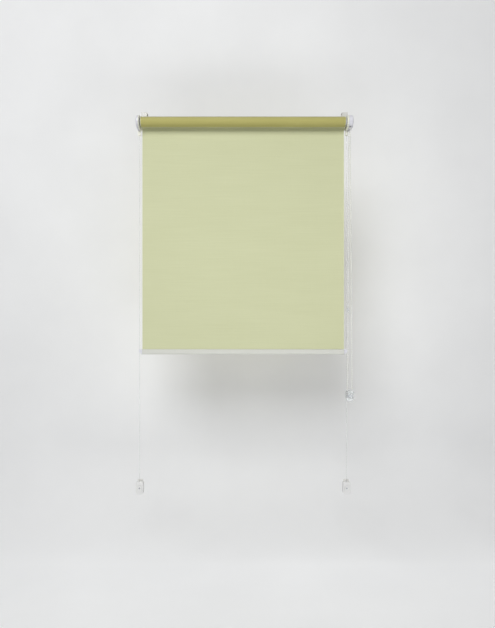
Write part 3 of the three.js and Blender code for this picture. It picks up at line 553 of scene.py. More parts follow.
# The roll's copy of the reverse takes a strong sheen, so its top and bottom edges carry the painted
# bluish sky reflection; the hanging reverse takes a weak one
WOUND = cloth_material("wound_reverse", True, REVERSE, 0.9, 0.62)
BACK = cloth_material("cloth_reverse", False, REVERSE, 0.2, 0.62)

slots = {s["node"]: s["material_slot"] for s in frame["record"]["subparts"]}


def dress(obj, *materials):
    obj.data.materials.clear()
    for material in materials:
        obj.data.materials.append(material)


dress(chain, MATERIALS["beads"])
for line in lines:
    dress(line, MATERIALS["line_nylon"])
dress(panel, MATERIALS["fabric"], BACK, WOUND)
for face, side in zip(panel.data.polygons, panel_sides):
    face.material_index = side
dress(roll, WOUND)


# Hardware: the CAD's moulded, turned and pressed pieces again, with finer curves and broken edges.
# In and out are distances from the blind's middle, back and front distances from the sash face. A
# piece at the left end is made at the right and mirrored. A cutting solid reaches OVER too far.
OVER = 1.0

CHEEK_IN, CHEEK_OUT, CHEEK_RADIUS, CHEEK_CORNER = 355.0, 358.0, 22.5, 4
WALL = 1.6
HOOK_SHEET, PAD, SASH = 1.5, 0.8, 18
HOOK_BACK = PAD + SEAT
FLANGE_BACK = HOOK_BACK + HOOK_SHEET + SEAT
FLANGE_FRONT = FLANGE_BACK + 2.6
FLANGE_IN = CHEEK_IN - 16
FLANGE_TOP, FLANGE_HEIGHT = 25.5, 38.0
SCREW_X, SCREW_DROP = (FLANGE_IN + CHEEK_IN) / 2, FLANGE_TOP + FLANGE_HEIGHT / 2
SCREW_PLACE = (SCREW_X, 0, -SCREW_DROP)
SHANK, SCREW_HOLE, SCREW_HEAD, HEAD_HEIGHT = 1.5, 1.8, 3.0, 1.1
CROSS_LENGTH, CROSS_WIDTH = 2.9, 0.62
TAB_TOP, TAB_DROP, TAB_DEPTH, TAB_CORNER = 71.0, 86.0, 7, 1.5
IDLE_TAB, DRIVE_TAB = 10.6, 7.8
STOP_RADIUS, STOP_HEIGHT, LINE_BORE = 2, 5, 1

PLUG_IN, PLUG_FACE, PLUG_OUT, PLUG_MOUTH, PLUG_RADIUS = 318.0, 350.3, 352.2, 3.3, 12.7
PIN_BACK, PIN_TIP, PIN_HEAD, PIN_RADIUS, PIN_STROKE = 341.9, 361.0, 4.2, 3.0, 6.5
BOSS_OUT, BOSS_RADIUS = 362.6, 6
SPINDLE_RADIUS, SPINDLE_COLLAR, CLUTCH_BORE = 5.0, 8.0, 6.8
HUB_IN, HUB_OUT, HUB_RADIUS = PLUG_OUT + SEAT, 362.5, 9
SPROCKET_WIDTH, WHEEL_WIDTH = 7, 5.9
RIM_END = CHEEK_OUT + 3
COVER_IN = RIM_END + SEAT
COVER_OUT, IDLE_COVER_DEPTH = COVER_IN + 14.2, 7
BEAD_WAY = 6.6

HOOK_PLATE_OUT, HOOK_PLATE_WIDTH = CHEEK_IN + 10.6, 29
LOWER_EDGE, KNOB_DROP = 1326, 1308.0
CLIP_BACK, CLIP_FRONT, CLIP_WIDTH, CLIP_HEIGHT, CLIP_CORNER = 1.8, 17.5, 26, 42, 7
SPOOL_BACK, SPOOL_FRONT, SPOOL_RADIUS = PANEL_REACH - 1.8, PANEL_REACH + 1.8, 4
KNOB_BACK, KNOB_FRONT, KNOB_RADIUS, KNOB_DISH = SPOOL_BACK - 2, SPOOL_FRONT + 4.4, 8.5, 1.3
FLUTES, FLUTE_STEPS, FLUTE_DEPTH = 24, 8, 0.45

RAIL_MIDDLE = RAIL_DROP + RAIL_HEIGHT / 2
CHANNEL_DROP, CHANNEL_WIDTH, CHANNEL_HEIGHT = 2.8, 6, 3.2
CHAMBER_DROP, RAIL_WALL = 5.6, 1.5
CAP_FLANGE, CAP_PEG, EAR_DROP, EAR_HEIGHT, EAR_RADIUS = 4.2, 9, 0.5, 12, 2.8
ROD_RADIUS, ROD_DROP = 2.6, 13.6

HOLDER_X, HOLDER_DROP = WHEEL.x, -WHEEL.z
HOLDER_HALF_WIDTH, HOLDER_HALF_HEIGHT, HOLDER_CORNER = 14, 19.3, 9
HOLDER_PLATE, HOLDER_RIM, HOLDER_COVER = 1.6, 8.1, 1.2
POST_RADIUS, POST_HOLE, HOLDER_SHANK = 2.8, 1.65, 1.35


def arc(x, y, radius, start, end, steps):
    return [
        (x + radius * math.cos(a), y + radius * math.sin(a))
        for a in (start + (end - start) * i / steps for i in range(steps + 1))
    ]


# A polygon whose corners (x, y, radius) are rounded by tangent arcs
def rounded(corners, steps=8):
    outline = []
    for i, corner in enumerate(corners):
        here = Vector(corner[:2])
        radius = corner[2] if len(corner) > 2 else 0
        if not radius:
            outline.append(tuple(here))
            continue
        back = (Vector(corners[i - 1][:2]) - here).normalized()
        ahead = (Vector(corners[(i + 1) % len(corners)][:2]) - here).normalized()
        half = math.acos(max(-1, min(1, back.dot(ahead)))) / 2
        centre = here + (back + ahead).normalized() * (radius / math.sin(half))
        first = here + back * (radius / math.tan(half)) - centre
        last = here + ahead * (radius / math.tan(half)) - centre
        start = math.atan2(first.y, first.x)
        sweep = math.atan2(last.y, last.x) - start
        sweep = (sweep + math.pi) % (2 * math.pi) - math.pi
        outline += arc(centre.x, centre.y, radius, start, start + sweep, steps)
    return outline


def box_outline(x, y, width, height, radius, steps=8):
    w, h = width / 2, height / 2
    return rounded([
        (x + w, y + h, radius), (x - w, y + h, radius),
        (x - w, y - h, radius), (x + w, y - h, radius),
    ], steps)


def placed(outline, direction, along):
    u, v, w = BASES[direction]
    return [u * p[0] + v * p[1] + w * along for p in outline]


# Working solids are kept in millimetres until they're finished.
def work_skin(rings, closed=False):
    obj = skin("work", rings, closed)
    obj.data.transform(Matrix.Scale(1000, 4))
    return obj


def prism(outline, direction, start, end):
    return work_skin([placed(outline, direction, start), placed(outline, direction, end)])


# A prism with a rounded far edge; outline(inset) gives its outline, drawn in by the inset
def domed(outline, direction, start, end, radius, steps=7):
    rings = [placed(outline(0), direction, start)]
    for a in quarter(steps):
        inset = radius * (1 - math.cos(a))
        rings.append(placed(outline(inset), direction, end - radius + radius * math.sin(a)))
    return work_skin(rings)


# A solid turned about an axis, from a profile of (distance along the axis, radius) pairs
def turned(profile, direction, place, sides=64):
    return work_skin(turned_rings(profile, direction, place, sides))


def bar(start, end, radius, direction, place, sides=48):
    return turned([(start, radius), (end, radius)], direction, place, sides)


# A turned ring whose profile closes on itself, clear of the axis
def turned_ring(profile, direction, place, sides=64):
    point = round_axis(direction, place)
    rings = [[point(along, radius, a) for along, radius in profile] for a in circle(sides)]
    return work_skin(rings, closed=True)


def combine(operation, base, others):
    for other in others:
        change = base.modifiers.new("change", "BOOLEAN")
        change.solver = "MANIFOLD"
        change.operation = operation
        change.object = other
    bpy.context.view_layer.update()
    graph = bpy.context.evaluated_depsgraph_get()
    mesh = bpy.data.meshes.new_from_object(base.evaluated_get(graph))
    base.modifiers.clear()
    base.data = mesh
    for other in others:
        bpy.data.objects.remove(other)
    return base


def joined(base, *others):
    return combine("UNION", base, others)


def cut(base, *others):
    return combine("DIFFERENCE", base, others)


# Points closer than WELD metres are joined, and faces that turn by less than FLAT degrees.
WELD, FLAT = 1e-7, 0.4


def stand_for(obj, node, body):
    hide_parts(node)
    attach(obj, body)
    dress(obj, MATERIALS[slots[node]])


# Makes a working solid into a finished piece that stands for its CAD node
def finish(obj, name, node, body="mounting", side=1, edge=0.2, segments=2):
    obj.data.transform(Matrix.Diagonal((side * MM, MM, MM, 1)))
    if side < 0:
        obj.data.flip_normals()
    work = bmesh.new()
    work.from_mesh(obj.data)
    bmesh.ops.remove_doubles(work, verts=work.verts, dist=WELD)
    bmesh.ops.dissolve_limit(
        work, angle_limit=math.radians(FLAT), verts=work.verts, edges=work.edges,
    )
    work.to_mesh(obj.data)
    work.free()
    smooth(obj, EDGE_SHARP)
    obj.name = name
    if edge:
        bevel = obj.modifiers.new("edges", "BEVEL")
        bevel.limit_method = "ANGLE"
        bevel.angle_limit = math.radians(EDGE_SHARP)
        bevel.width = edge * MM
        bevel.segments = segments
        obj.modifiers.new("normals", "WEIGHTED_NORMAL").keep_sharp = True
    stand_for(obj, node, body)
    return obj


# Cheek outline in (Y, Z): round at the front about the roll's axis, straight underside, flat back
def cheek_outline(inset):
    radius = CHEEK_RADIUS - inset
    leave = math.radians(265)
    front = arc(-ROLL_REACH, -ROLL_DROP, radius, math.pi / 2, leave, 44)
    rear = -(FLANGE_BACK + inset)
    underside = front[-1][1] - (rear - front[-1][0]) / math.tan(leave - math.pi)
    corner = max(CHEEK_CORNER - inset, 0.25)
    return rounded(front + [(rear, underside, corner), (rear, radius - ROLL_DROP, corner)], 7)


def flange():
    width = CHEEK_OUT - FLANGE_IN
    outline = box_outline((CHEEK_OUT + FLANGE_IN) / 2, -SCREW_DROP, width, FLANGE_HEIGHT, 3)
    sheet = prism(outline, "room", FLANGE_BACK, FLANGE_FRONT)
    return cut(
        sheet, bar(FLANGE_BACK - OVER, FLANGE_FRONT + OVER, SCREW_HOLE, "room", SCREW_PLACE),
    )


def line_tab(width):
    leg_top = -ROLL_DROP - CHEEK_RADIUS / 2
    outline = box_outline(-PANEL_REACH, (leg_top - TAB_DROP) / 2, TAB_DEPTH, leg_top + TAB_DROP,
                          TAB_CORNER)
    leg = prism(outline, "right", CHEEK_IN, CHEEK_OUT)
    plan = box_outline(CHEEK_IN + width / 2, -PANEL_REACH, width, TAB_DEPTH, TAB_CORNER)
    block = prism(plan, "up", -TAB_DROP, -TAB_TOP)
    return cut(
        joined(leg, block),
        bar(LINE_TOP, -TAB_TOP + OVER, STOP_RADIUS + SEAT, *ON_LINE),
        bar(-TAB_DROP - OVER, -TAB_TOP, LINE_BORE, *ON_LINE),
    )


def make_brackets():
    plate = prism(cheek_outline(0), "right", CHEEK_IN, CHEEK_OUT)
    boss = bar(CHEEK_IN, BOSS_OUT, BOSS_RADIUS, *ON_ROLL)
    socket = bar(CHEEK_IN - OVER, PIN_TIP + SEAT, PIN_RADIUS + SEAT, *ON_ROLL)
    idle = cut(joined(plate, boss, flange(), line_tab(IDLE_TAB)), socket)
    finish(idle, "idle_cheek", "idle_bracket", side=-1, edge=0.25)

    plate = prism(cheek_outline(0), "right", CHEEK_IN, RIM_END)
    inside = prism(cheek_outline(WALL), "right", CHEEK_OUT, RIM_END + OVER)
    bore = bar(CHEEK_IN - OVER, RIM_END, HUB_RADIUS + SEAT, *ON_ROLL)
    drive = joined(cut(plate, inside, bore), flange(), line_tab(DRIVE_TAB))
    finish(drive, "drive_cheek", "drive_bracket", edge=0.25)


# Shallow round dish in a cover's flat end, about the roll's axis
def end_dish(end, depth=0.6, floor=12.4, rim=13.2):
    return turned([(end - depth, floor), (end, rim), (end + OVER, rim)], *ON_ROLL, 96)


def make_covers():
    start = CHEEK_OUT + SEAT
    end = start + IDLE_COVER_DEPTH
    outside = domed(cheek_outline, "right", start, end, CHEEK_CORNER)
    inside = prism(cheek_outline(WALL), "right", start - OVER, end - WALL)
    finish(cut(outside, inside, end_dish(end)), "idle_cap", "idle_cover", side=-1)

    outside = domed(cheek_outline, "right", COVER_IN, COVER_OUT, CHEEK_CORNER)
    hollow = prism(cheek_outline(WALL), "right", COVER_IN - OVER, COVER_OUT - WALL)
    exits = [
        prism(
            box_outline(side * SPROCKET_RADIUS - ROLL_REACH, -ROLL_DROP - CHEEK_RADIUS, BEAD_WAY,
                        CHEEK_RADIUS, 2),
            "right", COVER_IN - OVER, SPROCKET.x + BEAD_WAY / 2,
        )
        for side in (1, -1)
    ]
    finish(cut(outside, hollow, end_dish(COVER_OUT), *exits), "drive_cap", "drive_cover")


# Bent sheet hook over a sash edge, with its seat at Z = 0 and its plate below. A strip, given by
# its width and middle, runs over the edge; the plate is (middle, width, height, shoulder's drop).
def hook(strip_width, strip_x, plate, back, hole_x, hole_drop):
    plate_x, plate_width, plate_height, shoulder = plate
    front, lip, flare = back + HOOK_SHEET, SASH + HOOK_SHEET, 1.2
    bend, foot = 1 + HOOK_SHEET, -shoulder - 3 - HOOK_SHEET
    profile = rounded([
        (-front, foot), (-front, HOOK_SHEET, bend), (lip, HOOK_SHEET, bend), (lip, -9, 2),
        (lip + flare, -12), (SASH + flare, -12), (SASH, -9, 2), (SASH, 0, 1), (-back, 0, 1),
        (-back, foot),
    ])
    strip = prism(profile, "right", strip_x - strip_width / 2, strip_x + strip_width / 2)
    sheet = prism(
        box_outline(plate_x, -shoulder - plate_height / 2, plate_width, plate_height, 3),
        "room", back, front,
    )
    place = (hole_x, 0, -hole_drop)
    return cut(joined(strip, sheet), bar(back - OVER, front + OVER, SCREW_HOLE, "room", place))


# Pan head screw with a cross recess
def screw(foot, shank, head_from, place, steps=6):
    top, wall = head_from + HEAD_HEIGHT, 0.45
    profile = [
        (foot, shank), (head_from, shank), (head_from, SCREW_HEAD),
        (head_from + HEAD_HEIGHT * wall, SCREW_HEAD),
    ]
    for a in quarter(steps)[1:-1]:
        along = head_from + HEAD_HEIGHT * (wall + (1 - wall) * math.sin(a))
        profile.append((along, SCREW_HEAD * math.cos(a) ** 0.5))
    body = turned(profile, "room", place, 40)
    x, _, z = place
    arms = [
        prism(box_outline(x, z, w, h, 0.15, 3), "room", top - CROSS_WIDTH, top + OVER)
        for w, h in ((CROSS_LENGTH, CROSS_WIDTH), (CROSS_WIDTH, CROSS_LENGTH))
    ]
    return cut(body, *arms)


def make_sash_fixings():
    plate_x = HOOK_PLATE_OUT - HOOK_PLATE_WIDTH / 2
    for side, name in SIDES:
        strip_x = HOOK_PLATE_OUT - (10 if side > 0 else 19)
        top = hook(20, strip_x, (plate_x, HOOK_PLATE_WIDTH, 50, 14), HOOK_BACK, SCREW_X, SCREW_DROP)
        finish(top, f"sash_hook_sheet_{name}", f"sash_hook_{name}", side=side, edge=0.18)
        head = screw(HOOK_BACK, SHANK, FLANGE_FRONT + SEAT, SCREW_PLACE)
        finish(head, f"cheek_screw_{name}", f"hook_screw_{name}", side=side, edge=0.08)

        low = hook(16, LINE_X, (LINE_X, 20, 36, 8), 0, LINE_X, LOWER_EDGE - KNOB_DROP)
        upturned = Matrix.Diagonal((1, 1, -1, 1))
        low.data.transform(Matrix.Translation((0, 0, -LOWER_EDGE)) @ upturned)
        low.data.flip_normals()
        finish(low, f"lower_hook_sheet_{name}", f"tensioner_hook_{name}", side=side, edge=0.18)


def clip_outline(inset):
    return box_outline(LINE_X, -KNOB_DROP, CLIP_WIDTH - 2 * inset, CLIP_HEIGHT - 2 * inset,
                       CLIP_CORNER - inset)


def fluted_outline():
    count = FLUTES * FLUTE_STEPS
    outline = []
    for i, a in enumerate(circle(count)):
        r = KNOB_RADIUS - FLUTE_DEPTH / 2 * (1 + math.cos(2 * math.pi * i / FLUTE_STEPS))
        outline.append((LINE_X + r * math.cos(a), r * math.sin(a) - KNOB_DROP))
    return outline


def make_line_tensioners():
    axis = ("room", (LINE_X, 0, -KNOB_DROP))
    for side, name in SIDES:
        body = domed(clip_outline, "room", CLIP_BACK, CLIP_FRONT, 2.5)
        well = bar(KNOB_BACK - SEAT, CLIP_FRONT + OVER, KNOB_RADIUS + SEAT, *axis, 64)
        hole = bar(CLIP_BACK - OVER, KNOB_BACK, SCREW_HOLE, *axis)
        channel = bar(-KNOB_DROP, CLIP_HEIGHT / 2 + OVER - KNOB_DROP, LINE_BORE, *ON_LINE)
        body = finish(cut(body, well, hole, channel), f"clip_body_{name}",
                      f"tensioner_body_{name}", side=side, edge=0.35, segments=3)

        drum = turned([
            (KNOB_BACK, KNOB_RADIUS), (SPOOL_BACK, KNOB_RADIUS), (SPOOL_BACK, SPOOL_RADIUS),
            (SPOOL_FRONT + OVER, SPOOL_RADIUS),
        ], *axis)
        head = prism(fluted_outline(), "room", SPOOL_FRONT, KNOB_FRONT)
        dish = bar(KNOB_FRONT - KNOB_DISH, KNOB_FRONT + OVER, 5.4, *axis)
        bore = bar(KNOB_BACK - OVER, KNOB_FRONT, SCREW_HOLE, *axis)
        knob = finish(cut(joined(drum, head), dish, bore), f"clip_knob_{name}",
                      f"tensioner_knob_{name}", f"knob_{name}", side, edge=0.3)
        dress(body, CLIP_WHITE)
        dress(knob, CLIP_WHITE)
        head = screw(HOOK_SHEET / 2, SHANK, KNOB_FRONT - KNOB_DISH + SEAT, axis[1])
        finish(head, f"clip_screw_{name}", f"tensioner_screw_{name}", side=side, edge=0.08)


def rail_outline(inset):
    return box_outline(-PANEL_REACH, -RAIL_MIDDLE, RAIL_DEPTH - 2 * inset,
                       RAIL_HEIGHT - 2 * inset, RAIL_CORNER - inset)


def chamber_outline(inset):
    top = RAIL_DROP + CHAMBER_DROP + inset
    bottom = RAIL_DROP + RAIL_HEIGHT - RAIL_WALL - inset
    width = RAIL_DEPTH - 2 * (RAIL_WALL + inset)
    return box_outline(-PANEL_REACH, -(top + bottom) / 2, width, bottom - top, 0.75, 4)


def make_rail():
    body = prism(rail_outline(0), "right", -HALF, HALF)
    over = HALF + OVER
    slot = prism(box_outline(-PANEL_REACH, -RAIL_DROP, 1.5, 2.7, 0.01, 1), "right", -over, over)
    channel = prism(
        box_outline(-PANEL_REACH, -RAIL_DROP - CHANNEL_DROP, CHANNEL_WIDTH, CHANNEL_HEIGHT, 0.3, 3),
        "right", -over, over,
    )
    chamber = prism(chamber_outline(0), "right", -over, over)
    finish(cut(body, slot, channel, chamber), "rail_extrusion", "bottom_rail", "rail", edge=0.15)
    face = HALF + SEAT
    start, top = face + CAP_FLANGE / 2, -RAIL_DROP - EAR_DROP
    bottom = top - EAR_HEIGHT
    for side, name in SIDES:
        cap = domed(rail_outline, "right", face, face + CAP_FLANGE, 1.5)
        peg = prism(chamber_outline(SEAT), "right", HALF - CAP_PEG, start)
        plan = [(start, -PANEL_REACH - EAR_RADIUS)]
        plan += arc(LINE_X, -PANEL_REACH, EAR_RADIUS, -math.pi / 2, math.pi / 2, 20)
        plan += [(start, -PANEL_REACH + EAR_RADIUS)]
        ear = prism(plan, "up", bottom, top)
        eye = turned(
            [(bottom - OVER, 1.6), (bottom, 1.6), (bottom + 0.3, 1.2), (bottom + 0.8, LINE_BORE),
             (top - 0.8, LINE_BORE), (top - 0.3, 1.2), (top, 1.6), (top + OVER, 1.6)],
            *ON_LINE, 32,
        )
        finish(cut(joined(cap, peg, ear), eye), f"rail_end_{name}", f"rail_cap_{name}",
               "rail", side)


def holder_outline(inset):
    w, h = HOLDER_HALF_WIDTH - inset, HOLDER_HALF_HEIGHT - inset
    x, z = HOLDER_X, -HOLDER_DROP
    corner = HOLDER_CORNER - inset
    return rounded([
        (x + w, z + h, corner), (x - w, z + h, corner), (x - w, z - h, w), (x + w, z - h, w),
    ], 14)


def make_chain_tensioner():
    axis = (HOLDER_X, 0, -HOLDER_DROP)
    block = prism(holder_outline(0), "room", 0, HOLDER_RIM)
    hollow = prism(holder_outline(WALL), "room", HOLDER_PLATE, HOLDER_RIM + OVER)
    mouths = [
        prism(box_outline(HOLDER_X + side * WHEEL_RADIUS, HOLDER_HALF_HEIGHT - HOLDER_DROP,
                          BEAD_WAY, HOLDER_HALF_HEIGHT, 0.01, 1),
              "room", HOLDER_PLATE, HOLDER_RIM + OVER)
        for side in (1, -1)
    ]
    post = bar(HOLDER_PLATE / 2, HOLDER_RIM, POST_RADIUS, "room", axis)
    hole = bar(HOLDER_PLATE, HOLDER_RIM + OVER, POST_HOLE, "room", axis)
    base = cut(joined(cut(block, hollow, *mouths), post), hole)
    finish(base, "holder_shell", "chain_tensioner_base", edge=0.25)

    start = HOLDER_RIM + SEAT
    end = start + HOLDER_COVER
    plate = domed(holder_outline, "room", start, end, 0.7, 5)
    windows = [
        prism(box_outline(HOLDER_X + side * 8, -HOLDER_DROP, 5.6, 15, 2.5), "room",
              start - OVER, end + OVER)
        for side in (1, -1)
    ]
    hole = bar(start - OVER, end + OVER, POST_HOLE, "room", axis)
    finish(cut(plate, *windows, hole), "holder_front", "chain_tensioner_cover")
    head = screw(HOLDER_PLATE + SEAT, HOLDER_SHANK, end + SEAT, axis)
    finish(head, "holder_screw", "chain_tensioner_screw", edge=0.08)


# Grooved wheel with a round pocket for each bead
def bead_wheel(radius, width, rise, bore, pockets, phase, direction, place, play=0.22, steps=14):
    rim, floor, half = radius + rise, radius - BEAD_RADIUS, width / 2
    wheel = turned_ring([
        (-half, bore), (-half, rim), (0.6 - half, rim), (-1, floor), (1, floor),
        (half - 0.6, rim), (half, rim), (half, bore),
    ], direction, place, 96)
    u, v, _ = BASES[direction]
    ball, pole = BEAD_RADIUS + play, 0.03
    profile = [(-ball * math.cos(a), ball * math.sin(a))
               for a in (pole + (math.pi - 2 * pole) * i / steps for i in range(steps + 1))]
    cups = []
    for a in circle(pockets):
        spot = Vector(place) + radius * (u * math.cos(phase + a) + v * math.sin(phase + a))
        cups.append(turned(profile, direction, spot, 24))
    return cut(wheel, *cups)


def make_wheels():
    run = QUARTER + FRONT_RUN + HALF_WHEEL / 2
    offset = PITCH * math.ceil(run / PITCH) - run
    phase = -math.pi / 2 - offset / WHEEL_RADIUS
    wheel = bead_wheel(WHEEL_RADIUS, WHEEL_WIDTH, 1.3, POST_RADIUS + SEAT, WHEEL_POCKETS, phase,
                       "room", WHEEL)
    finish(wheel, "holder_wheel", "chain_tensioner_wheel", "chain_wheel", edge=0.15)
    bore = SPINDLE_RADIUS + SEAT
    sprocket = bead_wheel(SPROCKET_RADIUS, SPROCKET_WIDTH, 1.6, bore, SPROCKET_POCKETS,
                          math.pi / 2, "right", SPROCKET)
    hub = turned_ring([
        (HUB_IN, bore), (HUB_IN, HUB_RADIUS), (HUB_OUT - 0.6, HUB_RADIUS),
        (HUB_OUT, HUB_RADIUS - 1.6), (HUB_OUT, bore),
    ], *ON_ROLL)
    finish(joined(sprocket, hub), "sprocket_wheel", "drive_sprocket", "roller", edge=0.15)


# Clip that closes the chain, laid along the rear strand: two domed halves with a waist
def make_connector(steps=6):
    half, r, end, mouth, waist = 8.7, 2.9, 0.55, 1.0, 0.6
    profile = [(-half, mouth), (-half, r * end)]
    for a in quarter(steps)[1:]:
        profile.append((-half + r / 2 - r / 2 * math.cos(a), r * (end + (1 - end) * math.sin(a))))
    profile += [(-r / 2, r), (-waist, r - 0.42), (waist, r - 0.42), (r / 2, r)]
    for a in quarter(steps):
        profile.append((half - r / 2 + r / 2 * math.sin(a), r * (end + (1 - end) * math.cos(a))))
    profile += [(half, mouth)]
    clip = turned(profile, "up", (0, 0, 0), 32)
    along = (REAR - LEFT).normalized()
    turn = Z_AXIS.rotation_difference(along).to_matrix().to_4x4()
    clip.data.transform(Matrix.Translation(chain_point(CONNECTOR_AT)) @ turn)
    finish(clip, "chain_clip", "chain_connector", edge=0)


# Coil spring round the roll's axis, of round wire
def coil(name, node, body, wire, radius, start, end, turns, per_turn=32, sides=12):
    point = round_axis(*ON_ROLL)
    rings = []
    for i in range(turns * per_turn + 1):
        angle = 2 * math.pi * i / per_turn
        x = start + (end - start) * i / (turns * per_turn)
        rings.append([
            point(x + wire * math.sin(a), radius + wire * math.cos(a), angle) for a in circle(sides)
        ])
    spring = skin(name, rings, sharp=ROUND_SHARP)
    stand_for(spring, node, body)
    return spring


# The pin's spring stands between the pin and the disc behind it, on a mesh of its own
def make_springs():
    coil("drive_coil", "clutch_spring", "mounting", 0.6, 5.9, 329.267, 339.467, 6)
    wire, foot, tip = 0.4, -320.7, -341.2
    spring = coil("pin_coil", "idle_spring", "roller", wire, 3.8, foot, tip, 5)
    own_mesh(spring)


def tube_plug(name, side, bore, mouth):
    body = turned_ring([
        (PLUG_IN, bore), (PLUG_IN, PLUG_RADIUS), (PLUG_FACE, PLUG_RADIUS),
        (PLUG_FACE, TUBE_RADIUS), (PLUG_OUT, TUBE_RADIUS), *mouth,
    ], *ON_ROLL, 96)
    finish(body, f"{name}_tube_plug", f"{name}_plug", "roller", side)


# Tube, its end plugs, the sprung pin with the disc behind its spring, and the fixed spindle
def make_roller_core():
    bore = TUBE_RADIUS - TUBE_WALL
    tube = turned_ring([(-HALF, bore), (-HALF, TUBE_RADIUS), (HALF, TUBE_RADIUS), (HALF, bore)],
                       *ON_ROLL, 96)
    finish(tube, "tube_shell", "roller_tube", "roller", edge=0.15)

    bore, mouth, step = PIN_HEAD + SEAT, PIN_RADIUS + SEAT, PLUG_OUT - PLUG_MOUTH
    tube_plug("idle", -1, bore, [(PLUG_OUT, mouth), (step, mouth), (step, bore)])
    tube_plug("drive", 1, CLUTCH_BORE, [(PLUG_OUT, CLUTCH_BORE)])

    head = step - SEAT
    pin = turned([
        (PIN_BACK, PIN_HEAD), (head, PIN_HEAD), (head, PIN_RADIUS), (PIN_TIP - 1, PIN_RADIUS),
        (PIN_TIP - 0.45, PIN_RADIUS - 0.3), (PIN_TIP, PIN_RADIUS - 1),
    ], *ON_ROLL, 48)
    finish(pin, "sprung_pin", "idle_pin", "pin", -1)
    disc = bar(PLUG_IN, PLUG_IN + 2, PIN_HEAD, *ON_ROLL)
    finish(disc, "spring_disc", "idle_spring_cap", "roller", -1)

    start, shoulder = PLUG_IN + SEAT, SPROCKET.x + SPROCKET_WIDTH / 2 + SEAT
    spindle = turned([
        (start, SPINDLE_RADIUS - 1), (start + 1, SPINDLE_RADIUS), (shoulder, SPINDLE_RADIUS),
        (shoulder, SPINDLE_COLLAR), (COVER_OUT - WALL - SEAT, SPINDLE_COLLAR),
    ], *ON_ROLL)
    finish(spindle, "fixed_spindle", "drive_spindle")


# Foam pads, the stops crimped on the lines, and the hem strip and steel rod in the rail
def make_small_pieces():
    foot, groove = LINE_TOP + SEAT, STOP_RADIUS - 0.3
    for side, name in SIDES:
        outline = box_outline(HOOK_PLATE_OUT - HOOK_PLATE_WIDTH / 2, -39, 26, 47, 3)
        finish(prism(outline, "room", 0, PAD), f"foam_pad_{name}", f"hook_pad_{name}", side=side,
               edge=0.15)
        stop = turned([
            (foot, STOP_RADIUS), (foot + 1.1, STOP_RADIUS), (foot + 1.4, groove),
            (foot + 2.2, groove), (foot + 2.5, STOP_RADIUS), (foot + STOP_HEIGHT - 1, STOP_RADIUS),
            (foot + STOP_HEIGHT, STOP_RADIUS - 1),
        ], *ON_LINE, 32)
        finish(stop, f"crimped_stop_{name}", f"line_stop_{name}", side=side, edge=0.15)

    half = HALF - SEAT
    width, height = CHANNEL_WIDTH - 2 * SEAT, CHANNEL_HEIGHT - 2 * SEAT
    outline = box_outline(-PANEL_REACH, -RAIL_DROP - CHANNEL_DROP, width, height, height / 3, 4)
    hem = prism(outline, "right", -half, half)
    finish(hem, "hem_bar", "hem_strip", "rail", edge=0.15)
    half = HALF - CAP_PEG - SEAT
    rod = bar(-half, half, ROD_RADIUS, "right", (0, -PANEL_REACH, -RAIL_DROP - ROD_DROP))
    finish(rod, "steel_rod", "weight_rod", "rail")


for make in (make_brackets, make_covers, make_sash_fixings, make_line_tensioners, make_rail,
             make_chain_tensioner, make_wheels, make_connector, make_springs, make_roller_core,
             make_small_pieces):
    make()

# Stage, in metres: pale wall and floor in one swept sheet. It is seen from the object's side only
# and fades into the world far out, so the object shows from behind and below too, and the lamp
# behind it reaches the object.
FLOOR, WALL_PLACE, SWEEP = -1.62, 0.42, 0.35
STAGE_FRONT, STAGE_TOP, STAGE_SIDE = -4.5, 2.5, 4.0
WALL_GLOW, FLOOR_GLOW = 0.2, 0.25
FADE_CENTRE, FADE_FROM, FADE_TO = (0, 0, -0.7), 1.7, 3.4


# 1 for the rays that see the stage and the world bright: the camera's, mirrored and refracted ones
def lifted_rays(n):
    rays = n.add("ShaderNodeLightPath").outputs
    through = n.math("MAXIMUM", rays["Is Glossy Ray"], rays["Is Transmission Ray"])
    return n.math("MAXIMUM", rays["Is Camera Ray"], through)


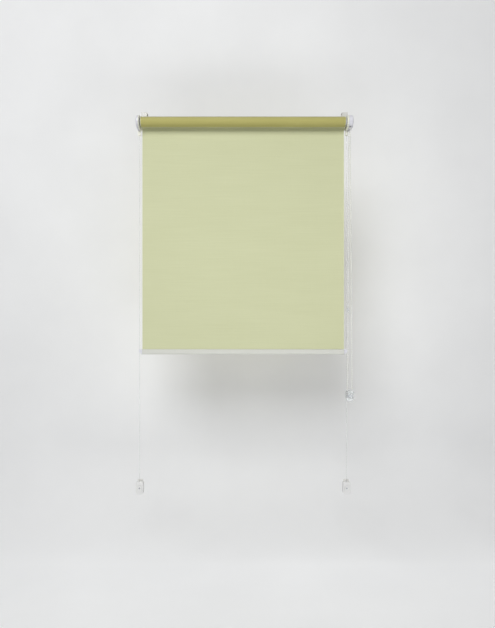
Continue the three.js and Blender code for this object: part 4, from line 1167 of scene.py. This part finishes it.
def stage_material():
    n = Nodes(bpy.data.materials.new("backdrop"))
    n.set("Base Color",
           n.ramp(n.noise(3, 3), [(0.3, srgb(214, 215, 216)), (0.7, srgb(220, 221, 222))]))
    n.set("Roughness", 0.9)
    n.set("Emission Color", (1, 1, 1, 1))
    height = n.split()["Z"]
    glow = n.span(height, FLOOR, FLOOR + SWEEP, FLOOR_GLOW, WALL_GLOW)
    n.set("Emission Strength", n.math("MULTIPLY", lifted_rays(n), glow))
    geometry = n.add("ShaderNodeNewGeometry").outputs
    away = n.fill(n.add("ShaderNodeVectorMath", operation="DISTANCE"), geometry["Position"],
                  FADE_CENTRE)["Value"]
    faded = n.span(away, FADE_FROM, FADE_TO, 0, 1)
    hidden = n.math("MAXIMUM", geometry["Backfacing"], faded)
    shadow = n.add("ShaderNodeLightPath").outputs["Is Shadow Ray"]
    n.set("Alpha", n.math("SUBTRACT", 1.0, n.math("MAXIMUM", hidden, shadow)))
    return n.owner


def make_stage():
    profile = [(STAGE_FRONT, FLOOR)]
    profile += arc(WALL_PLACE - SWEEP, FLOOR + SWEEP, SWEEP, -math.pi / 2, 0, 16)
    profile.append((WALL_PLACE, STAGE_TOP))
    points = [(x, y, z) for x in (-STAGE_SIDE, STAGE_SIDE) for y, z in profile]
    count = len(profile)
    faces = [(count + i, count + i + 1, i + 1, i) for i in range(count - 1)]
    stage = mesh_object("backdrop", points, faces, scale=1.0)
    dress(stage, stage_material())


make_stage()


def area_light(name, place, target, size, power, spread=180):
    data = bpy.data.lights.new(name, "AREA")
    data.shape = "RECTANGLE"
    data.size, data.size_y = size
    data.energy = power
    data.spread = math.radians(spread)
    light = bpy.data.objects.new(name, data)
    bpy.context.collection.objects.link(light)
    light.location = place
    light.rotation_mode = "QUATERNION"
    light.rotation_quaternion = (Vector(target) - Vector(place)).to_track_quat("-Z", "Y")


area_light("key", (-0.9, -3.4, 1.8), (0, 0, -0.4), (2.2, 2.2), 121)
area_light("low", (0.3, -1.5, -1.38), (0, 0, -0.3), (2.4, 0.4), 5, 100)
area_light("top", (0.0, -0.9, 2.4), (0, -0.03, -0.04), (2.2, 1.0), 3)
area_light("back", (0.9, 2.6, 0.0), (0, 0, -0.5), (2.0, 2.0), 21, 120)

# World: a little even light, and a pale tone where the camera and reflections see it
WORLD_LIGHT, WORLD_SEEN = 0.08, 0.83
world = bpy.data.worlds.new("world")
bpy.context.scene.world = world
sky = Nodes(world, "Background")
sky.set("Color", (1, 1, 1, 1))
sky.set("Strength", sky.span(lifted_rays(sky), 0, 1, WORLD_LIGHT, WORLD_SEEN))
bpy.context.scene.view_settings.view_transform = "Standard"

bpy.context.view_layer.update()
